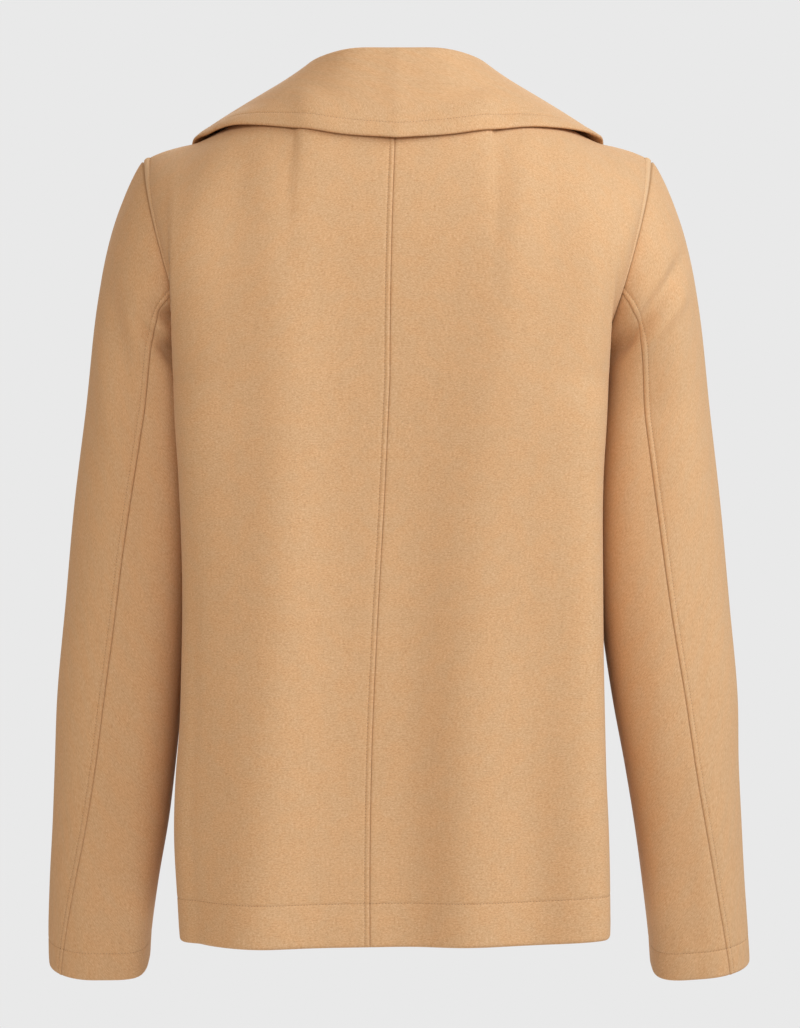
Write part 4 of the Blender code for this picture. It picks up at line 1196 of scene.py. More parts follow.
class Nodes:
    """Adds linked nodes to a material, a world or a node group."""

    def __init__(self, tree):
        self.tree = tree

    def add(self, kind, inputs=None, **options):
        made = self.tree.nodes.new(kind)
        for key, value in options.items():
            setattr(made, key, value)
        self.feed(made, inputs or {})
        return made

    def feed(self, made, inputs):
        """Links the inputs whose value is a socket, and sets the others."""
        for key, value in inputs.items():
            if isinstance(value, bpy.types.NodeSocket):
                self.tree.links.new(value, made.inputs[key])
            else:
                made.inputs[key].default_value = value

    def math(self, operation, *values):
        return self.add("ShaderNodeMath", dict(enumerate(values)), operation=operation).outputs[0]

    def scaled(self, vector, x, y, z):
        return self.add("ShaderNodeVectorMath", {0: vector, 1: (x, y, z)},
                        operation="MULTIPLY").outputs[0]

    def noise(self, vector, scale, detail=2.0, rough=0.5):
        return self.add("ShaderNodeTexNoise", {
            "Vector": vector, "Scale": scale, "Detail": detail, "Roughness": rough,
        }).outputs["Fac"]

    def between(self, value, low, high):
        """0 below low, 1 above high and a smooth step between."""
        return self.add("ShaderNodeMapRange", {
            "Value": value, "From Min": low, "From Max": high,
        }, interpolation_type="SMOOTHSTEP").outputs[0]

    def blend(self, share, a, b, kind="MIX"):
        made = self.add("ShaderNodeMix", {0: share, 6: a, 7: b}, data_type="RGBA", blend_type=kind)
        return made.outputs[2]


def add_sockets(tree, in_out, kind, *labels):
    for label in labels:
        tree.interface.new_socket(label, in_out=in_out, socket_type=f"NodeSocket{kind}")


# ---- Stitching ----


def stitch_tree():
    """Stitches laid end to end along a line, each turned to face out of the cloth."""
    name = "stitching"
    if name in bpy.data.node_groups:
        return bpy.data.node_groups[name]
    tree = bpy.data.node_groups.new(name, "GeometryNodeTree")
    add_sockets(tree, "INPUT", "Geometry", "Line")
    add_sockets(tree, "INPUT", "Float", "Pitch", "Stitch length", "Thread", "Sink", "Turn", "Uneven")
    add_sockets(tree, "INPUT", "Int", "Seed")
    add_sockets(tree, "INPUT", "Material", "Finish")
    add_sockets(tree, "OUTPUT", "Geometry", "Stitches")
    n = Nodes(tree)
    given = n.add("NodeGroupInput").outputs
    line = n.add("GeometryNodeMeshToCurve", {0: given["Line"]}).outputs[0]
    even = n.add("GeometryNodeResampleCurve", {"Curve": line, "Length": given["Pitch"]},
                 mode="LENGTH").outputs[0]
    tangent = n.add("GeometryNodeInputTangent").outputs[0]
    out = n.add("GeometryNodeInputNamedAttribute", {"Name": "out"}, data_type="FLOAT_VECTOR")
    along = n.add("FunctionNodeAlignRotationToVector", {"Vector": tangent}, axis="X").outputs[0]
    facing = n.add("FunctionNodeAlignRotationToVector", {
        "Rotation": along, "Vector": out.outputs["Attribute"],
    }, axis="Z", pivot_axis="X").outputs[0]
    uneven = given["Uneven"]
    spread = n.add("FunctionNodeRandomValue", {
        2: n.math("MULTIPLY", uneven, -1.0), 3: uneven, "Seed": given["Seed"],
    }, data_type="FLOAT").outputs[1]
    about = n.add("ShaderNodeCombineXYZ", {"Z": n.math("ADD", spread, given["Turn"])}).outputs[0]
    turn = n.add("FunctionNodeEulerToRotation", {0: about}).outputs[0]
    turned = n.add("FunctionNodeRotateRotation", {0: facing, 1: turn},
                   rotation_space="LOCAL").outputs[0]
    ball = n.add("GeometryNodeMeshUVSphere", {"Segments": 6, "Rings": 4, "Radius": 0.5})
    size = n.add("ShaderNodeCombineXYZ", {
        "X": given["Stitch length"], "Y": given["Thread"], "Z": given["Thread"],
    }).outputs[0]
    stitch = n.add("GeometryNodeTransform", {"Geometry": ball.outputs["Mesh"], "Scale": size})
    laid = n.add("GeometryNodeInstanceOnPoints", {
        "Points": even, "Instance": stitch.outputs[0], "Rotation": turned,
    }).outputs[0]
    down = n.add("ShaderNodeCombineXYZ", {"Z": n.math("MULTIPLY", given["Sink"], -1.0)}).outputs[0]
    sunk = n.add("GeometryNodeTranslateInstances", {"Instances": laid, "Translation": down})
    real = n.add("GeometryNodeRealizeInstances", {0: sunk.outputs[0]}).outputs[0]
    painted = n.add("GeometryNodeSetMaterial", {"Geometry": real, "Material": given["Finish"]})
    n.add("NodeGroupOutput", {0: painted.outputs[0]})
    return tree


def stitching(name, lines, **sizes):
    """One mesh of stitches along several lines, each given as points and outward directions."""
    vertices, edges, outs = [], [], []
    for points, outward in lines:
        start = len(vertices)
        vertices += [tuple(p) for p in points]
        outs.append(outward)
        edges += [(k, k + 1) for k in range(start, len(vertices) - 1)]
    data = bpy.data.meshes.new(name)
    data.from_pydata(vertices, edges, [])
    out = data.attributes.new("out", "FLOAT_VECTOR", "POINT")
    out.data.foreach_set("vector", np.concatenate(outs).reshape(-1).astype(np.float32))
    guide = placed(name + "_guide", data, None)
    tree = stitch_tree()
    modifier = guide.modifiers.new("stitching", "NODES")
    modifier.node_group = tree
    work = bpy.context.scene.coat_sewing
    chosen = {
        "Pitch": work.pitch,
        "Stitch length": work.stitch,
        "Thread": work.thread,
        "Sink": work.thread * SINK_SHARE,
        "Turn": 0.0,
        "Uneven": STITCH_UNEVEN,
        "Seed": len(name),
        "Finish": thread_finish(),
        **sizes,
    }
    for item in tree.interface.items_tree:
        if item.item_type == "SOCKET" and item.in_out == "INPUT" and item.name in chosen:
            modifier[item.identifier] = chosen[item.name]
    guide.update_tag()
    seen = guide.evaluated_get(bpy.context.evaluated_depsgraph_get())
    mesh = bpy.data.meshes.new_from_object(seen)
    mesh.name = name
    guide.modifiers.clear()
    bpy.data.objects.remove(guide)
    mesh.shade_smooth()
    return dressed(placed(name, mesh, thread_finish()))


# ---- Finishes ----


def felt_group():
    """Felted wool: a mottled ground with short level flecks, light neps and a fine nap, and a mask
    of painted shade and highlight.
    """
    name = "felted_wool"
    if name in bpy.data.node_groups:
        return bpy.data.node_groups[name]
    tree = bpy.data.node_groups.new(name, "ShaderNodeTree")
    add_sockets(tree, "INPUT", "Vector", "Place")
    add_sockets(tree, "INPUT", "Color", "Ground", "Fleck", "Nep")
    add_sockets(tree, "INPUT", "Float", "Flecks", "Mottle", "Shade and highlight paint")
    add_sockets(tree, "OUTPUT", "Color", "Color")
    add_sockets(tree, "OUTPUT", "Float", "Roughness", "Height")
    n = Nodes(tree)
    given = n.add("NodeGroupInput").outputs
    place = given["Place"]
    grain = n.noise(n.scaled(place, 0.72, 1.25, 1.0), 760.0, 4.0, 0.80)
    fine = n.noise(n.scaled(place, 1.0, 1.5, 1.0), 2200.0, 2.0, 0.6)
    felted = n.noise(n.scaled(place, 0.8, 1.0, 1.0), 260.0, 2.0, 0.6)
    cloudy = n.noise(place, 70.0, 2.0)
    wide = n.noise(place, 9.0, 2.0)
    dash = n.noise(n.scaled(place, 0.22, 1.0, 1.0), 1150.0, 1.5, 0.5)
    patch = n.between(n.noise(place, 160.0, 2.0), 0.35, 0.62)
    flecks = n.math("MULTIPLY", n.between(dash, 0.56, 0.70), patch)
    neps = n.between(n.noise(n.scaled(place, 0.8, 1.0, 1.0), 900.0, 0.0), 0.68, 0.76)
    tone = n.math("MULTIPLY", n.math("SUBTRACT", grain, 0.5), 2.8)
    for layer, share in ((fine, 0.60), (felted, 0.30), (cloudy, 0.18), (wide, 0.14)):
        tone = n.math("ADD", tone, n.math("MULTIPLY", n.math("SUBTRACT", layer, 0.5), share))
    tone = n.math("MULTIPLY", tone, given["Mottle"])
    shades = [n.math("MULTIPLY_ADD", tone, share, 1.0) for share in (0.62, 1.0, 1.5)]
    shade = n.add("ShaderNodeCombineColor", dict(enumerate(shades))).outputs[0]
    colour = n.blend(1.0, given["Ground"], shade, "MULTIPLY")
    warm = n.blend(n.between(n.noise(place, 60.0, 2.0), 0.35, 0.65), (1.018, 0.995, 0.972, 1),
                   (0.988, 1.004, 1.022, 1))
    colour = n.blend(1.0, colour, warm, "MULTIPLY")
    colour = n.blend(n.math("MULTIPLY", flecks, given["Flecks"]), colour, given["Fleck"])
    colour = n.blend(n.math("MULTIPLY", neps, 0.42), colour, given["Nep"])
    # Painted light: the mask's negative part blends in pale neps as highlight, its positive part dark
    # flecks as shade.
    light_paint = given["Shade and highlight paint"]
    raised = n.math("MULTIPLY", n.math("MAXIMUM", n.math("MULTIPLY", light_paint, -1.0), 0.0), 0.45)
    colour = n.blend(raised, colour, given["Nep"])
    light_paint = n.math("MULTIPLY", n.math("MAXIMUM", light_paint, 0.0), 0.55)
    colour = n.blend(light_paint, colour, given["Fleck"])
    height = n.math("ADD", n.math("MULTIPLY", grain, 0.6), n.math("MULTIPLY", fine, 0.4))
    height = n.math("SUBTRACT", height, n.math("MULTIPLY", flecks, 0.12))
    rough = n.math("ADD", n.math("MULTIPLY", cloudy, 0.10), 0.86)
    n.add("NodeGroupOutput", {"Color": colour, "Roughness": rough, "Height": height})
    return tree


def new_material(name, settings):
    """A material with one shader, its nodes and that shader."""
    made = bpy.data.materials.new(name)
    made.use_nodes = True
    made.node_tree.nodes.clear()
    nodes = Nodes(made.node_tree)
    shader = nodes.add("ShaderNodeBsdfPrincipled", settings)
    nodes.add("ShaderNodeOutputMaterial", {"Surface": shader.outputs[0]}, location=(300, 0))
    return made, nodes, shader


def wool_finish():
    """The coat's wool, laid along the lengths of the cloth."""
    name = "wool_cloth"
    if name in bpy.data.materials:
        return bpy.data.materials[name]
    colours = bpy.context.scene.coat_colours
    made, n, shader = new_material(name, {
        "Specular IOR Level": 0.18, "Sheen Weight": 0.16, "Sheen Roughness": 0.45,
        "Sheen Tint": (0.95, 0.80, 0.62, 1),
    })
    felt = n.add("ShaderNodeGroup", {
        "Place": n.add("ShaderNodeUVMap", uv_map="cloth").outputs[0],
        # The mask of painted shade and highlight along seams and stitching.
        "Shade and highlight paint": n.add("ShaderNodeAttribute", attribute_name="shade_highlight_paint").outputs["Fac"],
        "Ground": (*colours.ground, 1), "Fleck": (*colours.fleck, 1), "Nep": (*colours.nep, 1),
        "Flecks": colours.flecks, "Mottle": colours.mottle,
    }, node_tree=felt_group()).outputs
    nap = n.add("ShaderNodeBump", {
        "Height": felt["Height"], "Strength": 0.26, "Distance": 0.0006,
    }).outputs[0]
    n.feed(shader, {"Base Color": felt["Color"], "Roughness": felt["Roughness"], "Normal": nap})
    return made


def thread_finish():
    """Twisted thread painted far darker than the cloth, standing in for the shade in its stitch holes.
    """
    name = "thread"
    if name in bpy.data.materials:
        return bpy.data.materials[name]
    colours = bpy.context.scene.coat_colours
    made, n, shader = new_material(name, {"Roughness": 0.8, "Specular IOR Level": 0.25})
    place = n.add("ShaderNodeTexCoord").outputs["Object"]
    shade = n.between(n.noise(place, 2500.0, 2.0), 0.3, 0.7)
    dark = tuple(0.72 * c for c in colours.thread)
    n.feed(shader, {"Base Color": n.blend(shade, (*dark, 1), (*colours.thread, 1))})
    return made


def horn_finish():
    """Polished dark horn with paler streaks."""
    name = "horn"
    if name in bpy.data.materials:
        return bpy.data.materials[name]
    colours = bpy.context.scene.coat_colours
    made, n, shader = new_material(name, {"Coat Weight": 0.25, "Coat Roughness": 0.12})
    place = n.add("ShaderNodeTexCoord").outputs["Object"]
    bend = n.noise(place, 60.0, 2.0)
    streaks = n.noise(n.scaled(place, 1.0, 1.0, 4.0), 160.0, 4.0, 0.6)
    mask = n.between(n.math("ADD", streaks, n.math("MULTIPLY", bend, 0.35)), 0.55, 0.86)
    light = tuple(min(1.0, 2.6 * c + 0.03) for c in colours.horn)
    colour = n.blend(mask, (*colours.horn, 1), (*light, 1))
    scratch = n.noise(n.scaled(place, 1.0, 6.0, 1.0), 900.0, 2.0)
    rough = n.math("ADD", n.math("MULTIPLY", scratch, 0.16), 0.22)
    worn = n.add("ShaderNodeBump", {"Height": scratch, "Strength": 0.12, "Distance": 0.0002})
    n.feed(shader, {"Base Color": colour, "Roughness": rough, "Normal": worn.outputs[0]})
    return made


# ---- Pieces ----

TRUNK = np.array([0.0, 0.0, (HEM + UNDERARM) / 2])
HEM_PROUD = 0.0003
HEM_PROUD_AT = 0.3
HEM_PROUD_WIDE = 0.35
HEM_STEP = 0.0012
ROW_DROP = 0.0012
SLEEVE_TUCK = 0.0032
ABOVE_UNDERARM = 0.02
ROLL_LINE_DROP = 0.0005
SHOULDER_STITCH_RUN = 0.002
SLEEVE_HEAD_DROP = 0.0006
SLEEVE_HEAD_RUN = 0.003
SLEEVE_HEAD_SHADE_RUN = 0.0006


def hemmed(cloth, off, deep):
    """A folded hem: its edge is round, its turn-up is held by a line of stitching. Gives how much
    further in the inner face lies there."""
    back = rounded(off, (CLOTH + TURN_UP) / 2)
    cloth.finish -= back
    cloth.finish += HEM_PROUD * bump(off - deep * HEM_PROUD_AT, deep * HEM_PROUD_WIDE)
    cloth.sewn(off, deep)
    return TURN_UP * (1 - ease((off - deep + HEM_STEP / 2) / HEM_STEP)) - back


def body_piece(surface, low, high, head, kind):
    """A body panel with its hem, side seam and armhole."""
    foot = stitched(FOLDED_EDGE, HEM_DEEP)
    cloth = Cloth(surface, TRUNK, low, high, foot, head, *GRID[kind])
    depth = bpy.context.scene.coat_sewing.fold_depth
    cloth.form += crease_height(cloth.points, cloth.normals, BODY_CREASES, depth)
    inside = hemmed(cloth, cloth.foot, HEM_DEEP)
    side_and_armhole(cloth)
    return cloth, inside


def side_and_armhole(cloth):
    """The side seam is pressed flat with painted shade, and the armhole edge lies over the sleeve's
    head, with a painted highlight on the strip beside it.
    """
    above = ease((cloth.rise - 1) / ABOVE_UNDERARM)
    cloth.pressed(cloth.high, 1 - above)
    cloth.lapped(cloth.high, ARMHOLE_STITCH, above, highlight_share=ARMHOLE_HIGHLIGHT)


def finished(node, cloth, inside, tucked=0.0):
    """The finished piece of cloth that stands for a node of the frame. tucked is how far in x each
    of two more rows at its foot runs on under the neighbour's edge."""
    outer, inner = cloth.walls(inside)
    uv, painted_shading = cloth.uv, cloth.painted_shading
    if tucked:
        way = np.array([tucked, 0, 0]) - ROW_DROP * cloth.normals[0]
        outer, inner = (np.concatenate([[face[0] + 2 * way], [face[0] + way], face])
                        for face in (outer, inner))
        uv = np.concatenate([uv[:1], uv[:1], uv])
        # The tucked rows under the neighbour's edge are painted fully in shade.
        painted_shading = np.concatenate([np.ones((2, painted_shading.shape[1])), painted_shading])
    piece = shell(node + "_cloth", outer, inner, uv, painted_shading, cloth.turned, wool_finish())
    dressed(piece, [node])
    cloth.flat()
    cloth.area()


def armhole_line(cloth):
    """The stitched part of the edge that runs from the underarm to the shoulder."""
    points, outward = cloth.line(cloth.high, ARMHOLE_STITCH)
    k = int(np.argmin(abs(cloth.high - ARMHOLE_STITCH)))
    part = cloth.rise[:, k] > 1 + ABOVE_UNDERARM / 2
    return points[part], outward[part]


def make_backs():
    """The half backs. The left one lies over the right one at the centre seam."""
    armhole = stitched(FOLDED_EDGE, ARMHOLE_STITCH)
    shoulder = stitched(PLAIN_EDGE, SHOULDER_STITCH)
    for side, word in SIDES.items():
        low = stitched(FOLDED_EDGE, CB_STITCH) if side > 0 else PLAIN_EDGE
        cloth, inside = body_piece(back_surface(side), low, armhole, shoulder, "back")
        cloth.pressed(cloth.head)
        on_shoulder = ease((abs(cloth.points[..., 0]) - NECK_SIDE) / SHOULDER_STITCH_RUN)
        cloth.sewn(cloth.head, SHOULDER_STITCH, on_shoulder)
        lines = [cloth.line(cloth.foot, HEM_DEEP), armhole_line(cloth)]
        if side > 0:
            cloth.lapped(cloth.low, CB_STITCH)
            lines.append(cloth.line(cloth.low, CB_STITCH))
        else:
            cloth.pressed(cloth.low)
        stitches = stitching(f"stitches_back_{word}", lines)
        finished(f"back_{word}", cloth, inside)


def make_fronts():
    """The fronts, each up to its roll line."""
    armhole = stitched(FOLDED_EDGE, ARMHOLE_STITCH)
    for side, word in SIDES.items():
        low = stitched(FOLDED_EDGE, EDGE_STITCH)
        cloth, inside = body_piece(front_surface(side), low, armhole, PLAIN_EDGE, "front")
        cloth.pressed(cloth.head, deep=ROLL_LINE_DROP)
        edge = rounded(cloth.low, CLOTH / 2)
        cloth.finish -= edge
        cloth.sewn(cloth.low, EDGE_STITCH)
        lines = [cloth.line(cloth.foot, HEM_DEEP), armhole_line(cloth),
                 cloth.line(cloth.low, EDGE_STITCH)]
        stitches = stitching(f"stitches_front_{word}", lines)
        finished(f"front_{word}", cloth, inside - edge)


def make_sleeves():
    """The upper and under sleeves. The upper one lies over the under one at the back seam."""
    depth = bpy.context.scene.coat_sewing.fold_depth
    cuff = stitched(FOLDED_EDGE, CUFF_DEEP)
    for side, word in SIDES.items():
        axis = np.array([side * SLEEVE("left_x", BICEPS), 0.0, BICEPS])
        for under in (False, True):
            kind = "sleeve_under" if under else "sleeve_top"
            part = f"{kind}_{word}"
            high = PLAIN_EDGE if under else stitched(FOLDED_EDGE, SLEEVE_STITCH)
            cloth = Cloth(sleeve_surface(side, under), axis, PLAIN_EDGE, high, PLAIN_EDGE, cuff,
                          *GRID[kind])
            cloth.form += crease_height(cloth.points, cloth.normals, SLEEVE_CREASES[side], depth)
            inside = hemmed(cloth, cloth.head, CUFF_DEEP)
            cloth.pressed(cloth.low)
            cloth.finish -= SLEEVE_HEAD_DROP * np.exp(-cloth.foot / SLEEVE_HEAD_RUN)
            # Painted shade along the sleeve head, where it runs in under the armhole's edge.
            cloth.painted_shading += np.exp(-cloth.foot / SLEEVE_HEAD_SHADE_RUN)
            lines = [cloth.line(cloth.head, CUFF_DEEP)]
            if under:
                cloth.pressed(cloth.high)
            else:
                cloth.lapped(cloth.high, SLEEVE_STITCH)
                lines.append(cloth.line(cloth.high, SLEEVE_STITCH))
            stitches = stitching(f"stitches_{part}", lines)
            finished(part, cloth, inside, -SLEEVE_TUCK * side)


# ---- Collar, lapels and welts ----


def through(points):
    """A smooth surface(across 0..1, rise 0..2) through a grid of points [along][across]."""
    padded = np.pad(points, ((1, 1), (1, 1), (0, 0)), mode="reflect", reflect_type="odd")

    def taps(share, count):
        at = np.clip(share, 0, 1) * (count - 1)
        i = np.minimum(at.astype(int), count - 2)
        u = at - i
        return i, (-u / 2 + u**2 - u**3 / 2, 1 - 2.5 * u**2 + 1.5 * u**3,
                   u / 2 + 2 * u**2 - 1.5 * u**3, (u**3 - u**2) / 2)

    def surface(across, rise):
        i, a = taps(rise / 2, points.shape[0])
        j, b = taps(across, points.shape[1])
        return sum((a[k] * b[m])[..., None] * padded[i + k, j + m]
                   for k in range(4) for m in range(4))

    return surface


def settled(points, moved, rounds):
    """The points moved as far as their neighbours are on average, so that no ripple is left."""
    return points + smoothed_both(moved - points, rounds, rounds)


def two_ply(points, inside, edges, kind):
    """A piece of two layers through a grid of points. edges are the grid lines beside its low,
    high, foot and head edges."""
    cloth = Cloth(through(points), inside, *edges, *GRID[kind])
    cloth.ply = TWO_PLY
    return cloth


def between_ends(cloth, start, run):
    """1 along a piece, and 0 within a distance of its foot and head."""
    return ease((cloth.foot - start) / run) * ease((cloth.head - start) / run)


def free_edges(cloth, *offs):
    """Rounds the free edges of a two-ply piece, which are pressed thinner than the rest of it, and
    gives how much further in its inner face lies: less than nothing there."""
    back = np.zeros(cloth.form.shape)
    thin = TWO_PLY / 2 * (1 - EDGE_PRESSED)
    for off in offs:
        half = TWO_PLY / 2 * (1 - EDGE_PRESSED * np.exp(-off / EDGE_PRESSED_RUN))
        back = np.maximum(back, TWO_PLY / 2 - half * (1 - rounded(off, thin) / thin))
    cloth.finish -= back
    return -back


def make_collar(body_form):
    """The collar, laid on the body, with a soft ridge at its edge over each shoulder."""
    across = np.linspace(0, 1, COLLAR_PLACES[0])
    along = np.linspace(0, 1, COLLAR_PLACES[1])
    half = collar_points(body_form, along, across)
    half[..., 1] = smoothed_both(half[..., 1], *COLLAR_SMOOTHING)
    points = np.concatenate([half[:0:-1] * np.array([-1, 1, 1]), half])
    at_end = abs(np.arange(len(points)) - len(along) + 1) >= END_SHARE * len(along)
    on_body = across > np.where(at_end, LAID_AT_ENDS, LAID_AT_BACK)[:, None]
    off = (1 - across) * LEAF_WIDE
    out = abs(points[..., 0] - RIDGE_MIDDLE)
    ridge = RIDGE_PROUD * bump(out - RIDGE_OUT, RIDGE_WIDE) * np.exp(-off / RIDGE_FADE)
    laid = EDGE_LAID * np.exp(-off / EDGE_LAID_RUN)
    clear = CLOTH / 2 + COLLAR_GAP + TWO_PLY / 2 + ridge - laid
    lifted = body_form.lifted(points, clear)
    points = settled(points, np.where(on_body[..., None], lifted, points), COLLAR_SETTLING)
    edge = stitched(FOLDED_EDGE, EDGE_STITCH)
    cloth = two_ply(points, NECK_MIDDLE, (PLAIN_EDGE, edge, edge, edge), "collar")
    inside = free_edges(cloth, cloth.high, cloth.foot, cloth.head)
    inset = between_ends(cloth, *COLLAR_INSET)
    cloth.sewn(cloth.high, EDGE_STITCH, inset)
    cloth.finish += EDGE_PROUD * bump(cloth.high - EDGE_STITCH / 2, EDGE_STITCH / 3)
    points, outward = cloth.line(cloth.high, EDGE_STITCH)
    keep = (inset > 0.5).ravel()
    stitches = stitching("stitches_collar", [(points[keep], outward[keep])])
    finished("collar", cloth, inside)


def make_lapels(forms):
    """The lapels, folded over at the roll lines of their fronts."""
    across = np.linspace(0, 1, LAPEL_PLACES[0])
    along = np.linspace(0, GORGE - GORGE_GAP, LAPEL_PLACES[1])
    edge = stitched(FOLDED_EDGE, EDGE_STITCH)
    for side, word in SIDES.items():
        points = lapel_points(side, forms[side], *np.meshgrid(along, across, indexing="ij"))
        points[..., 1] = smoothed_both(points[..., 1], *LAPEL_SMOOTHING)
        cloth = two_ply(points, TRUNK, (PLAIN_EDGE, edge, FOLDED_EDGE, PLAIN_EDGE), "lapel")
        inside = free_edges(cloth, cloth.high, cloth.foot)
        wide = running(cloth.points, 1)[:, -1:]
        room = ease((wide - LAPEL_STITCH_FROM) / LAPEL_STITCH_RUN)
        cloth.sewn(cloth.high, EDGE_STITCH, room)
        points, outward = cloth.line(cloth.high, EDGE_STITCH)
        keep = (room > 0.5).ravel() & (cloth.rise[:, -1] < 2 * LAPEL_NOTCH / along[-1])
        stitches = stitching(f"stitches_lapel_{word}", [(points[keep], outward[keep])])
        finished(f"lapel_{word}", cloth, inside)


def make_welts(forms):
    """The slanted pocket welts, laid on the fronts and stitched down on three sides."""
    edges = stitched(FOLDED_EDGE, WELT_STITCH)
    depth = bpy.context.scene.coat_sewing.fold_depth
    for side, word in SIDES.items():
        down = np.array([side * math.sin(WELT_SLANT), -math.cos(WELT_SLANT)])
        out = np.array([side * math.cos(WELT_SLANT), math.sin(WELT_SLANT)])
        start = np.array([side * WELT_TOP[0], WELT_TOP[1]])
        long, wide = np.meshgrid(np.linspace(0, WELT_LONG, WELT_PLACES[1]),
                                 np.linspace(0, WELT_WIDE, WELT_PLACES[0]), indexing="ij")
        x = start[0] + down[0] * long + out[0] * wide
        z = start[1] + down[1] * long + out[1] * wide
        points = stack(x, forms[side].depths(x, z), z)
        normals = unit(np.cross(np.gradient(points, axis=0), np.gradient(points, axis=1)))
        middle = tuple(k // 2 for k in normals.shape[:2])
        if np.dot(normals[middle], points[middle] - TRUNK) < 0:
            normals = -normals
        creases = crease_height(points, normals, BODY_CREASES, depth)
        clear = CLOTH / 2 + LAYER_GAP / 2 + TWO_PLY / 2 + creases
        points = points + normals * clear[..., None]
        cloth = two_ply(points, TRUNK, (edges,) * 4, "pocket_welt")
        inside = free_edges(cloth, cloth.low, cloth.high, cloth.foot, cloth.head)
        inset = between_ends(cloth, *WELT_INSET)
        cloth.sewn(cloth.low, WELT_STITCH, inset)
        points, outward = cloth.line(cloth.low, WELT_STITCH)
        keep = (inset > 0.5).ravel()
        lines = [(points[keep], outward[keep])]
        for off in (cloth.foot, cloth.head):
            points, outward = cloth.line(off, WELT_STITCH)
            keep = cloth.low > WELT_STITCH
            lines.append((points[keep], outward[keep]))
        stitches = stitching(f"stitches_pocket_welt_{word}", lines)
        finished(f"pocket_welt_{word}", cloth, inside)


# ---- Buttons ----

# Radius and height of the button's rings, from the rim's inner foot over the rim to the back, as
# shares of its radius and thickness.
BUTTON_PROFILE = ((0.60, BUTTON_FLOOR), (0.70, 0.62), (0.75, 0.74), (0.80, 0.92), (0.86, 1.0),
                  (0.93, 0.95), (0.98, 0.82), (1.0, 0.62), (1.0, 0.38), (0.97, 0.16), (0.90, 0.03),
                  (0.82, 0.0))
BUTTON_TURNS = 40
HOLE_OUT = 0.24
HOLE_RADIUS = 0.085
HOLE_TURNS = 10


def circle(mesh, x, y, z, radius, turns):
    steps = [2 * math.pi * k / turns for k in range(turns)]
    return [mesh.verts.new((x + radius * math.cos(a), y + radius * math.sin(a), z)) for a in steps]


def joined(mesh, low, high):
    for k in range(len(low)):
        m = (k + 1) % len(low)
        mesh.faces.new((low[k], low[m], high[m], high[k]))


def button_mesh():
    """A round button with a raised rim and four holes, its back at height 0."""
    mesh = bmesh.new()
    rings = [circle(mesh, 0, 0, h, r, BUTTON_TURNS) for r, h in BUTTON_PROFILE]
    for low, high in zip(rings, rings[1:]):
        joined(mesh, low, high)
    holes = []
    for x, y in ((1, 1), (-1, 1), (-1, -1), (1, -1)):
        x, y = x * HOLE_OUT * math.sqrt(0.5), y * HOLE_OUT * math.sqrt(0.5)
        holes.append([circle(mesh, x, y, h, HOLE_RADIUS, HOLE_TURNS)
                      for h in (BUTTON_FLOOR, 0.0)])
        joined(mesh, *holes[-1])
    for outer, level in ((rings[0], 0), (rings[-1], 1)):
        loops = [outer] + [hole[level] for hole in holes]
        edges = []
        for loop in loops:
            for a, b in zip(loop, loop[1:] + loop[:1]):
                edges.append(mesh.edges.get((a, b)) or mesh.edges.new((a, b)))
        bmesh.ops.triangle_fill(mesh, use_beauty=True, edges=edges)
    bmesh.ops.recalc_face_normals(mesh, faces=mesh.faces)
    for vertex in mesh.verts:
        vertex.co.x *= BUTTON_RADIUS
        vertex.co.y *= BUTTON_RADIUS
        vertex.co.z *= BUTTON_THICK
    return mesh


def thread_mesh():
    """Two crossed double strands through a button's holes."""
    mesh = bmesh.new()
    far = HOLE_OUT * BUTTON_RADIUS
    for angle in (math.pi / 4, 3 * math.pi / 4):
        for apart in (-STRAND_RADIUS, STRAND_RADIUS):
            rings = []
            for t in np.linspace(-1, 1, 13):
                lift = BUTTON_FLOOR * BUTTON_THICK + STRAND_RISE * (1 - t**2)
                lift -= STRAND_DIVE * ease((abs(t) - STRAND_DIVES_FROM) / (1 - STRAND_DIVES_FROM))
                along = far * t
                centre = np.array([
                    math.cos(angle) * along - math.sin(angle) * apart,
                    math.sin(angle) * along + math.cos(angle) * apart,
                    lift + (STRAND_CROSS if angle > math.pi / 2 else 0.0),
                ])
                side = np.array([-math.sin(angle), math.cos(angle), 0])
                up = np.array([0, 0, 1])
                rings.append([
                    mesh.verts.new(centre + STRAND_RADIUS * (math.cos(a) * side + math.sin(a) * up))
                    for a in (2 * math.pi * k / 6 for k in range(6))
                ])
            for low, high in zip(rings, rings[1:]):
                joined(mesh, low, high)
            mesh.faces.new(rings[0])
            mesh.faces.new(rings[-1])
    bmesh.ops.recalc_face_normals(mesh, faces=mesh.faces)
    return mesh


def make_buttons():
    """Six buttons on the outermost cloth, and stitched buttonholes under the outer column."""
    front = bpy.data.objects["front_right_cloth"]
    tree = BVHTree.FromObject(front, bpy.context.evaluated_depsgraph_get())
    number = 0
    holes = []
    for z in BUTTON_LEVELS:
        for x in (-BUTTON_ACROSS, BUTTON_ACROSS):
            number += 1
            hit, facing = seen_from_front(tree, x, z)
            turn = facing.to_track_quat("Z", "Y").to_matrix().to_4x4()
            turn.translation = hit + facing * BUTTON_SEAT
            for name, mesh, finish in ((f"button_{number}", button_mesh(), horn_finish()),
                                       (f"button_thread_{number}", thread_mesh(), thread_finish())):
                data = bpy.data.meshes.new(name)
                mesh.to_mesh(data)
                mesh.free()
                data.transform(turn)
                data.shade_smooth()
                if name.startswith("button_thread"):
                    dressed(placed(name, data, finish))
                else:
                    data.set_sharp_from_angle(angle=BUTTON_SHARP)
                    dressed(placed(name + "_horn", data, finish), [name])
            if x > 0:
                holes.append(buttonhole(tree, x, z))
    stitching("buttonholes", holes, **HOLE_STITCHES)


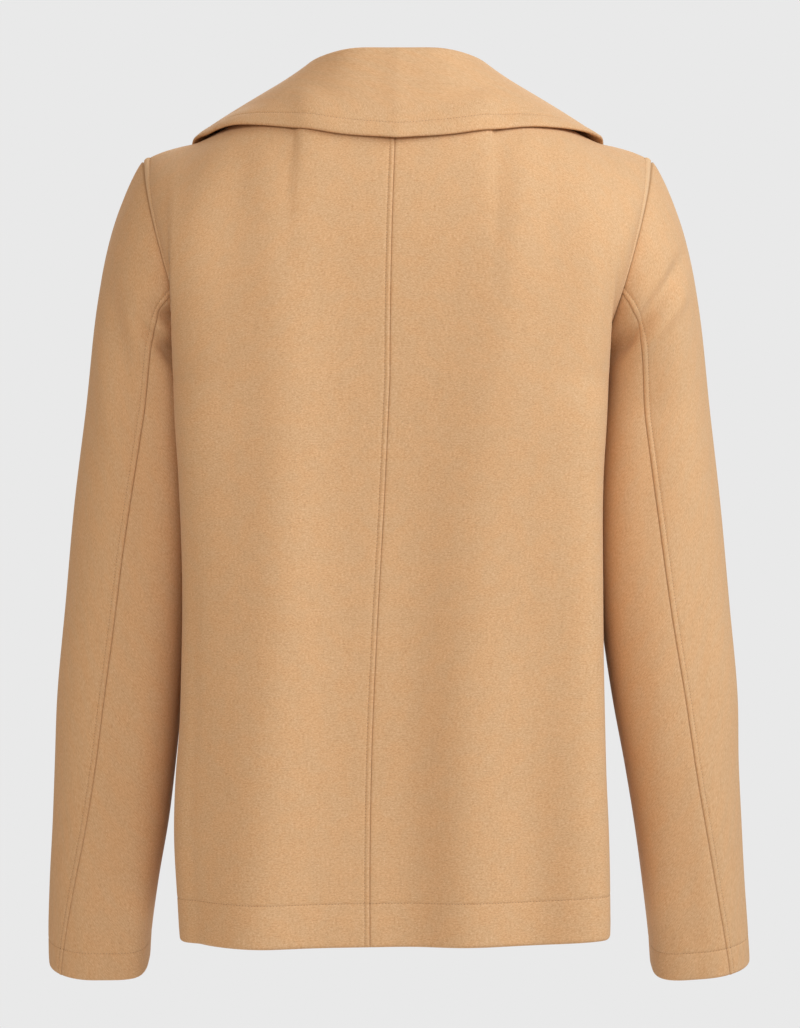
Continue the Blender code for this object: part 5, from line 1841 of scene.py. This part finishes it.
def buttonhole(tree, x, z):
    """The line of close stitches round a level buttonhole that starts under its button."""
    points, outs = [], []
    for k in range(HOLE_STEPS + 1):
        a = 2 * math.pi * k / HOLE_STEPS
        across = math.copysign(abs(math.cos(a)) ** HOLE_SQUARE, math.cos(a))
        hit, facing = seen_from_front(tree, x - HOLE_OFF_BUTTON + HOLE_HALF_LONG * across,
                                      z + HOLE_HALF_WIDE * math.sin(a))
        points.append(hit)
        outs.append(facing)
    return np.array(points), np.array(outs)


# ---- Stage ----


def make_stage(stage):
    scene = bpy.context.scene
    scene.view_settings.view_transform = "Standard"
    floor_mesh = bmesh.new()
    circle_points = circle(floor_mesh, 0, 0, FLOOR_LEVEL, FLOOR_RADIUS, 96)
    floor_mesh.faces.new(circle_points)
    data = bpy.data.meshes.new("floor")
    floor_mesh.to_mesh(data)
    floor_mesh.free()
    paint, n, shader = new_material("floor_paint", {"Roughness": 0.9, "Specular IOR Level": 0.1})
    place = n.add("ShaderNodeTexCoord").outputs["Object"]
    cloudy = n.noise(place, 1.5, 2.0)
    pale = tuple(0.985 * c for c in stage.floor)
    n.feed(shader, {"Base Color": n.blend(cloudy, (*pale, 1), (*stage.floor, 1))})
    placed("floor", data, paint)

    world = bpy.data.worlds.new("studio")
    scene.world = world
    world.use_nodes = True
    world.node_tree.nodes.clear()
    n = Nodes(world.node_tree)
    seen = n.add("ShaderNodeBackground", {"Color": (*stage.backdrop, 1), "Strength": 1.0})
    light = n.add("ShaderNodeBackground", {"Color": (*stage.fill, 1), "Strength": stage.surround})
    path = n.add("ShaderNodeLightPath")
    both = n.add("ShaderNodeMixShader", {
        0: path.outputs["Is Camera Ray"], 1: light.outputs[0], 2: seen.outputs[0],
    })
    n.add("ShaderNodeOutputWorld", {"Surface": both.outputs[0]})

    for name, place, size, power, tint in LAMPS:
        lamp = bpy.data.lights.new(name, "AREA")
        lamp.shape = "DISK"
        lamp.size = size
        lamp.energy = power * stage.power
        lamp.color = tint
        made = bpy.data.objects.new(name, lamp)
        scene.collection.objects.link(made)
        made.location = place
        aim = Vector(LAMP_AIM) - Vector(place)
        made.rotation_euler = aim.to_track_quat("-Z", "Y").to_euler()

    camera = bpy.data.cameras.new("camera")
    camera.sensor_fit = "VERTICAL"
    camera.sensor_height = SENSOR
    camera.sensor_width = SENSOR
    camera.lens = SENSOR * FOCAL_IN_HEIGHTS
    made = bpy.data.objects.new("camera", camera)
    scene.collection.objects.link(made)
    made.location = CAMERA_PLACE
    made.rotation_euler = (math.pi / 2, 0, math.pi)
    scene.camera = made


# ---- Add-on ----


class CoatSewing(bpy.types.PropertyGroup):
    """Sizes of the sewing and depth of the folds."""

    pitch: FloatProperty(name="Stitch pitch", description="Distance from stitch to stitch",
                         default=0.0023, min=0.001, max=0.01, subtype="DISTANCE", unit="LENGTH")
    stitch: FloatProperty(name="Stitch length", description="Length of the thread that shows",
                          default=0.0011, min=0.0005, max=0.008, subtype="DISTANCE", unit="LENGTH")
    thread: FloatProperty(name="Thread", description="Thickness of the thread",
                          default=0.00045, min=0.0001, max=0.002, subtype="DISTANCE", unit="LENGTH")
    fold_depth: FloatProperty(name="Fold depth", description="Share of the folds' full depth",
                              default=1.0, min=0.0, max=1.5, subtype="FACTOR")


class CoatColours(bpy.types.PropertyGroup):
    """Colours of cloth, thread and buttons."""

    ground: FloatVectorProperty(name="Cloth", description="Ground colour of the wool",
                                default=(0.645, 0.390, 0.202), min=0, max=1, subtype="COLOR")
    fleck: FloatVectorProperty(name="Flecks", description="Darker fibres in the wool",
                               default=(0.36, 0.20, 0.09), min=0, max=1, subtype="COLOR")
    nep: FloatVectorProperty(name="Neps", description="Paler knots of fibre in the wool",
                             default=(0.78, 0.56, 0.34), min=0, max=1, subtype="COLOR")
    # The thread's colour is painted far darker than the cloth, as shade in the stitch holes.
    thread: FloatVectorProperty(name="Thread", description="Sewing thread",
                                default=(0.28, 0.155, 0.075), min=0, max=1, subtype="COLOR")
    horn: FloatVectorProperty(name="Horn", description="Ground colour of the buttons",
                              default=(0.075, 0.040, 0.022), min=0, max=1, subtype="COLOR")
    flecks: FloatProperty(name="Fleck strength", description="How much the dark fibres show",
                          default=0.22, min=0, max=1, subtype="FACTOR")
    mottle: FloatProperty(name="Mottle", description="How uneven the felted ground is",
                          default=0.5, min=0, max=1, subtype="FACTOR")


class CoatStage(bpy.types.PropertyGroup):
    """Floor, backdrop and light."""

    floor: FloatVectorProperty(name="Floor", description="Colour of the floor",
                               default=(0.82, 0.82, 0.82), min=0, max=1, subtype="COLOR")
    backdrop: FloatVectorProperty(name="Backdrop", description="Colour behind the coat",
                                  default=(0.8148, 0.8148, 0.8148), min=0, max=1, subtype="COLOR")
    fill: FloatVectorProperty(name="Fill", description="Colour of the light from all sides",
                              default=(0.815, 0.673, 0.550), min=0, max=1, subtype="COLOR")
    surround: FloatProperty(name="Surround", description="Strength of the light from all sides",
                            default=0.47, min=0, max=2, subtype="FACTOR")
    power: FloatProperty(name="Lamps", description="Share of the lamps' full power",
                         default=1.0, min=0, max=3, subtype="FACTOR")


def body_forms():
    """The forms of the left front, the right front and the whole body, for laying pieces on."""
    return {
        1: Chest(front_form(1)),
        -1: Chest(front_form(-1)),
        "whole": Chest(front_form(1), front_form(-1), back_surface(1), back_surface(-1)),
    }


class COAT_OT_backs(bpy.types.Operator):
    """Lay out the two half backs with their centre seam, armholes and hem"""

    bl_idname = "coat.backs"
    bl_label = "Half backs"

    def execute(self, context):
        make_backs()
        return {"FINISHED"}


class COAT_OT_fronts(bpy.types.Operator):
    """Lay out the two fronts, the right one over the left one"""

    bl_idname = "coat.fronts"
    bl_label = "Fronts"

    def execute(self, context):
        make_fronts()
        return {"FINISHED"}


class COAT_OT_sleeves(bpy.types.Operator):
    """Set the two-piece sleeves into the armholes"""

    bl_idname = "coat.sleeves"
    bl_label = "Sleeves"

    def execute(self, context):
        make_sleeves()
        return {"FINISHED"}


class COAT_OT_collar(bpy.types.Operator):
    """Turn the collar down over the neckline"""

    bl_idname = "coat.collar"
    bl_label = "Collar"

    def execute(self, context):
        make_collar(body_forms()["whole"])
        return {"FINISHED"}


class COAT_OT_lapels(bpy.types.Operator):
    """Fold the lapels over the fronts"""

    bl_idname = "coat.lapels"
    bl_label = "Lapels"

    def execute(self, context):
        make_lapels(body_forms())
        return {"FINISHED"}


class COAT_OT_welts(bpy.types.Operator):
    """Lay the pocket welts on the fronts"""

    bl_idname = "coat.welts"
    bl_label = "Pocket welts"

    def execute(self, context):
        make_welts(body_forms())
        return {"FINISHED"}


class COAT_OT_buttons(bpy.types.Operator):
    """Sew on the buttons and work their buttonholes"""

    bl_idname = "coat.buttons"
    bl_label = "Buttons"

    def execute(self, context):
        make_buttons()
        return {"FINISHED"}


class COAT_OT_stage(bpy.types.Operator):
    """Set up the floor, the backdrop, the lamps and the camera"""

    bl_idname = "coat.stage"
    bl_label = "Stage"

    def execute(self, context):
        make_stage(context.scene.coat_stage)
        return {"FINISHED"}


STEPS = (COAT_OT_backs, COAT_OT_fronts, COAT_OT_sleeves, COAT_OT_collar, COAT_OT_lapels,
         COAT_OT_welts, COAT_OT_buttons, COAT_OT_stage)


class COAT_PT_panel(bpy.types.Panel):
    """Lists the coat's pieces and their sizes and colours"""

    bl_idname = "COAT_PT_panel"
    bl_label = "Wool coat"
    bl_space_type = "VIEW_3D"
    bl_region_type = "UI"
    bl_category = "Coat"

    def draw(self, context):
        column = self.layout.column(align=True)
        for step in STEPS:
            column.operator(step.bl_idname)
        for group in (context.scene.coat_sewing, context.scene.coat_colours,
                      context.scene.coat_stage):
            box = self.layout.box()
            for name in group.__annotations__:
                box.prop(group, name)


GROUPS = {"coat_sewing": CoatSewing, "coat_colours": CoatColours, "coat_stage": CoatStage}
CLASSES = (*GROUPS.values(), *STEPS, COAT_PT_panel)


def register():
    for one in CLASSES:
        bpy.utils.register_class(one)
    for name, group in GROUPS.items():
        setattr(bpy.types.Scene, name, PointerProperty(type=group))


def unregister():
    for name in GROUPS:
        delattr(bpy.types.Scene, name)
    for one in reversed(CLASSES):
        bpy.utils.unregister_class(one)


def main():
    register()
    for step in STEPS:
        family, word = step.bl_idname.split(".")
        getattr(getattr(bpy.ops, family), word)()


if __name__ == "__main__":
    main()
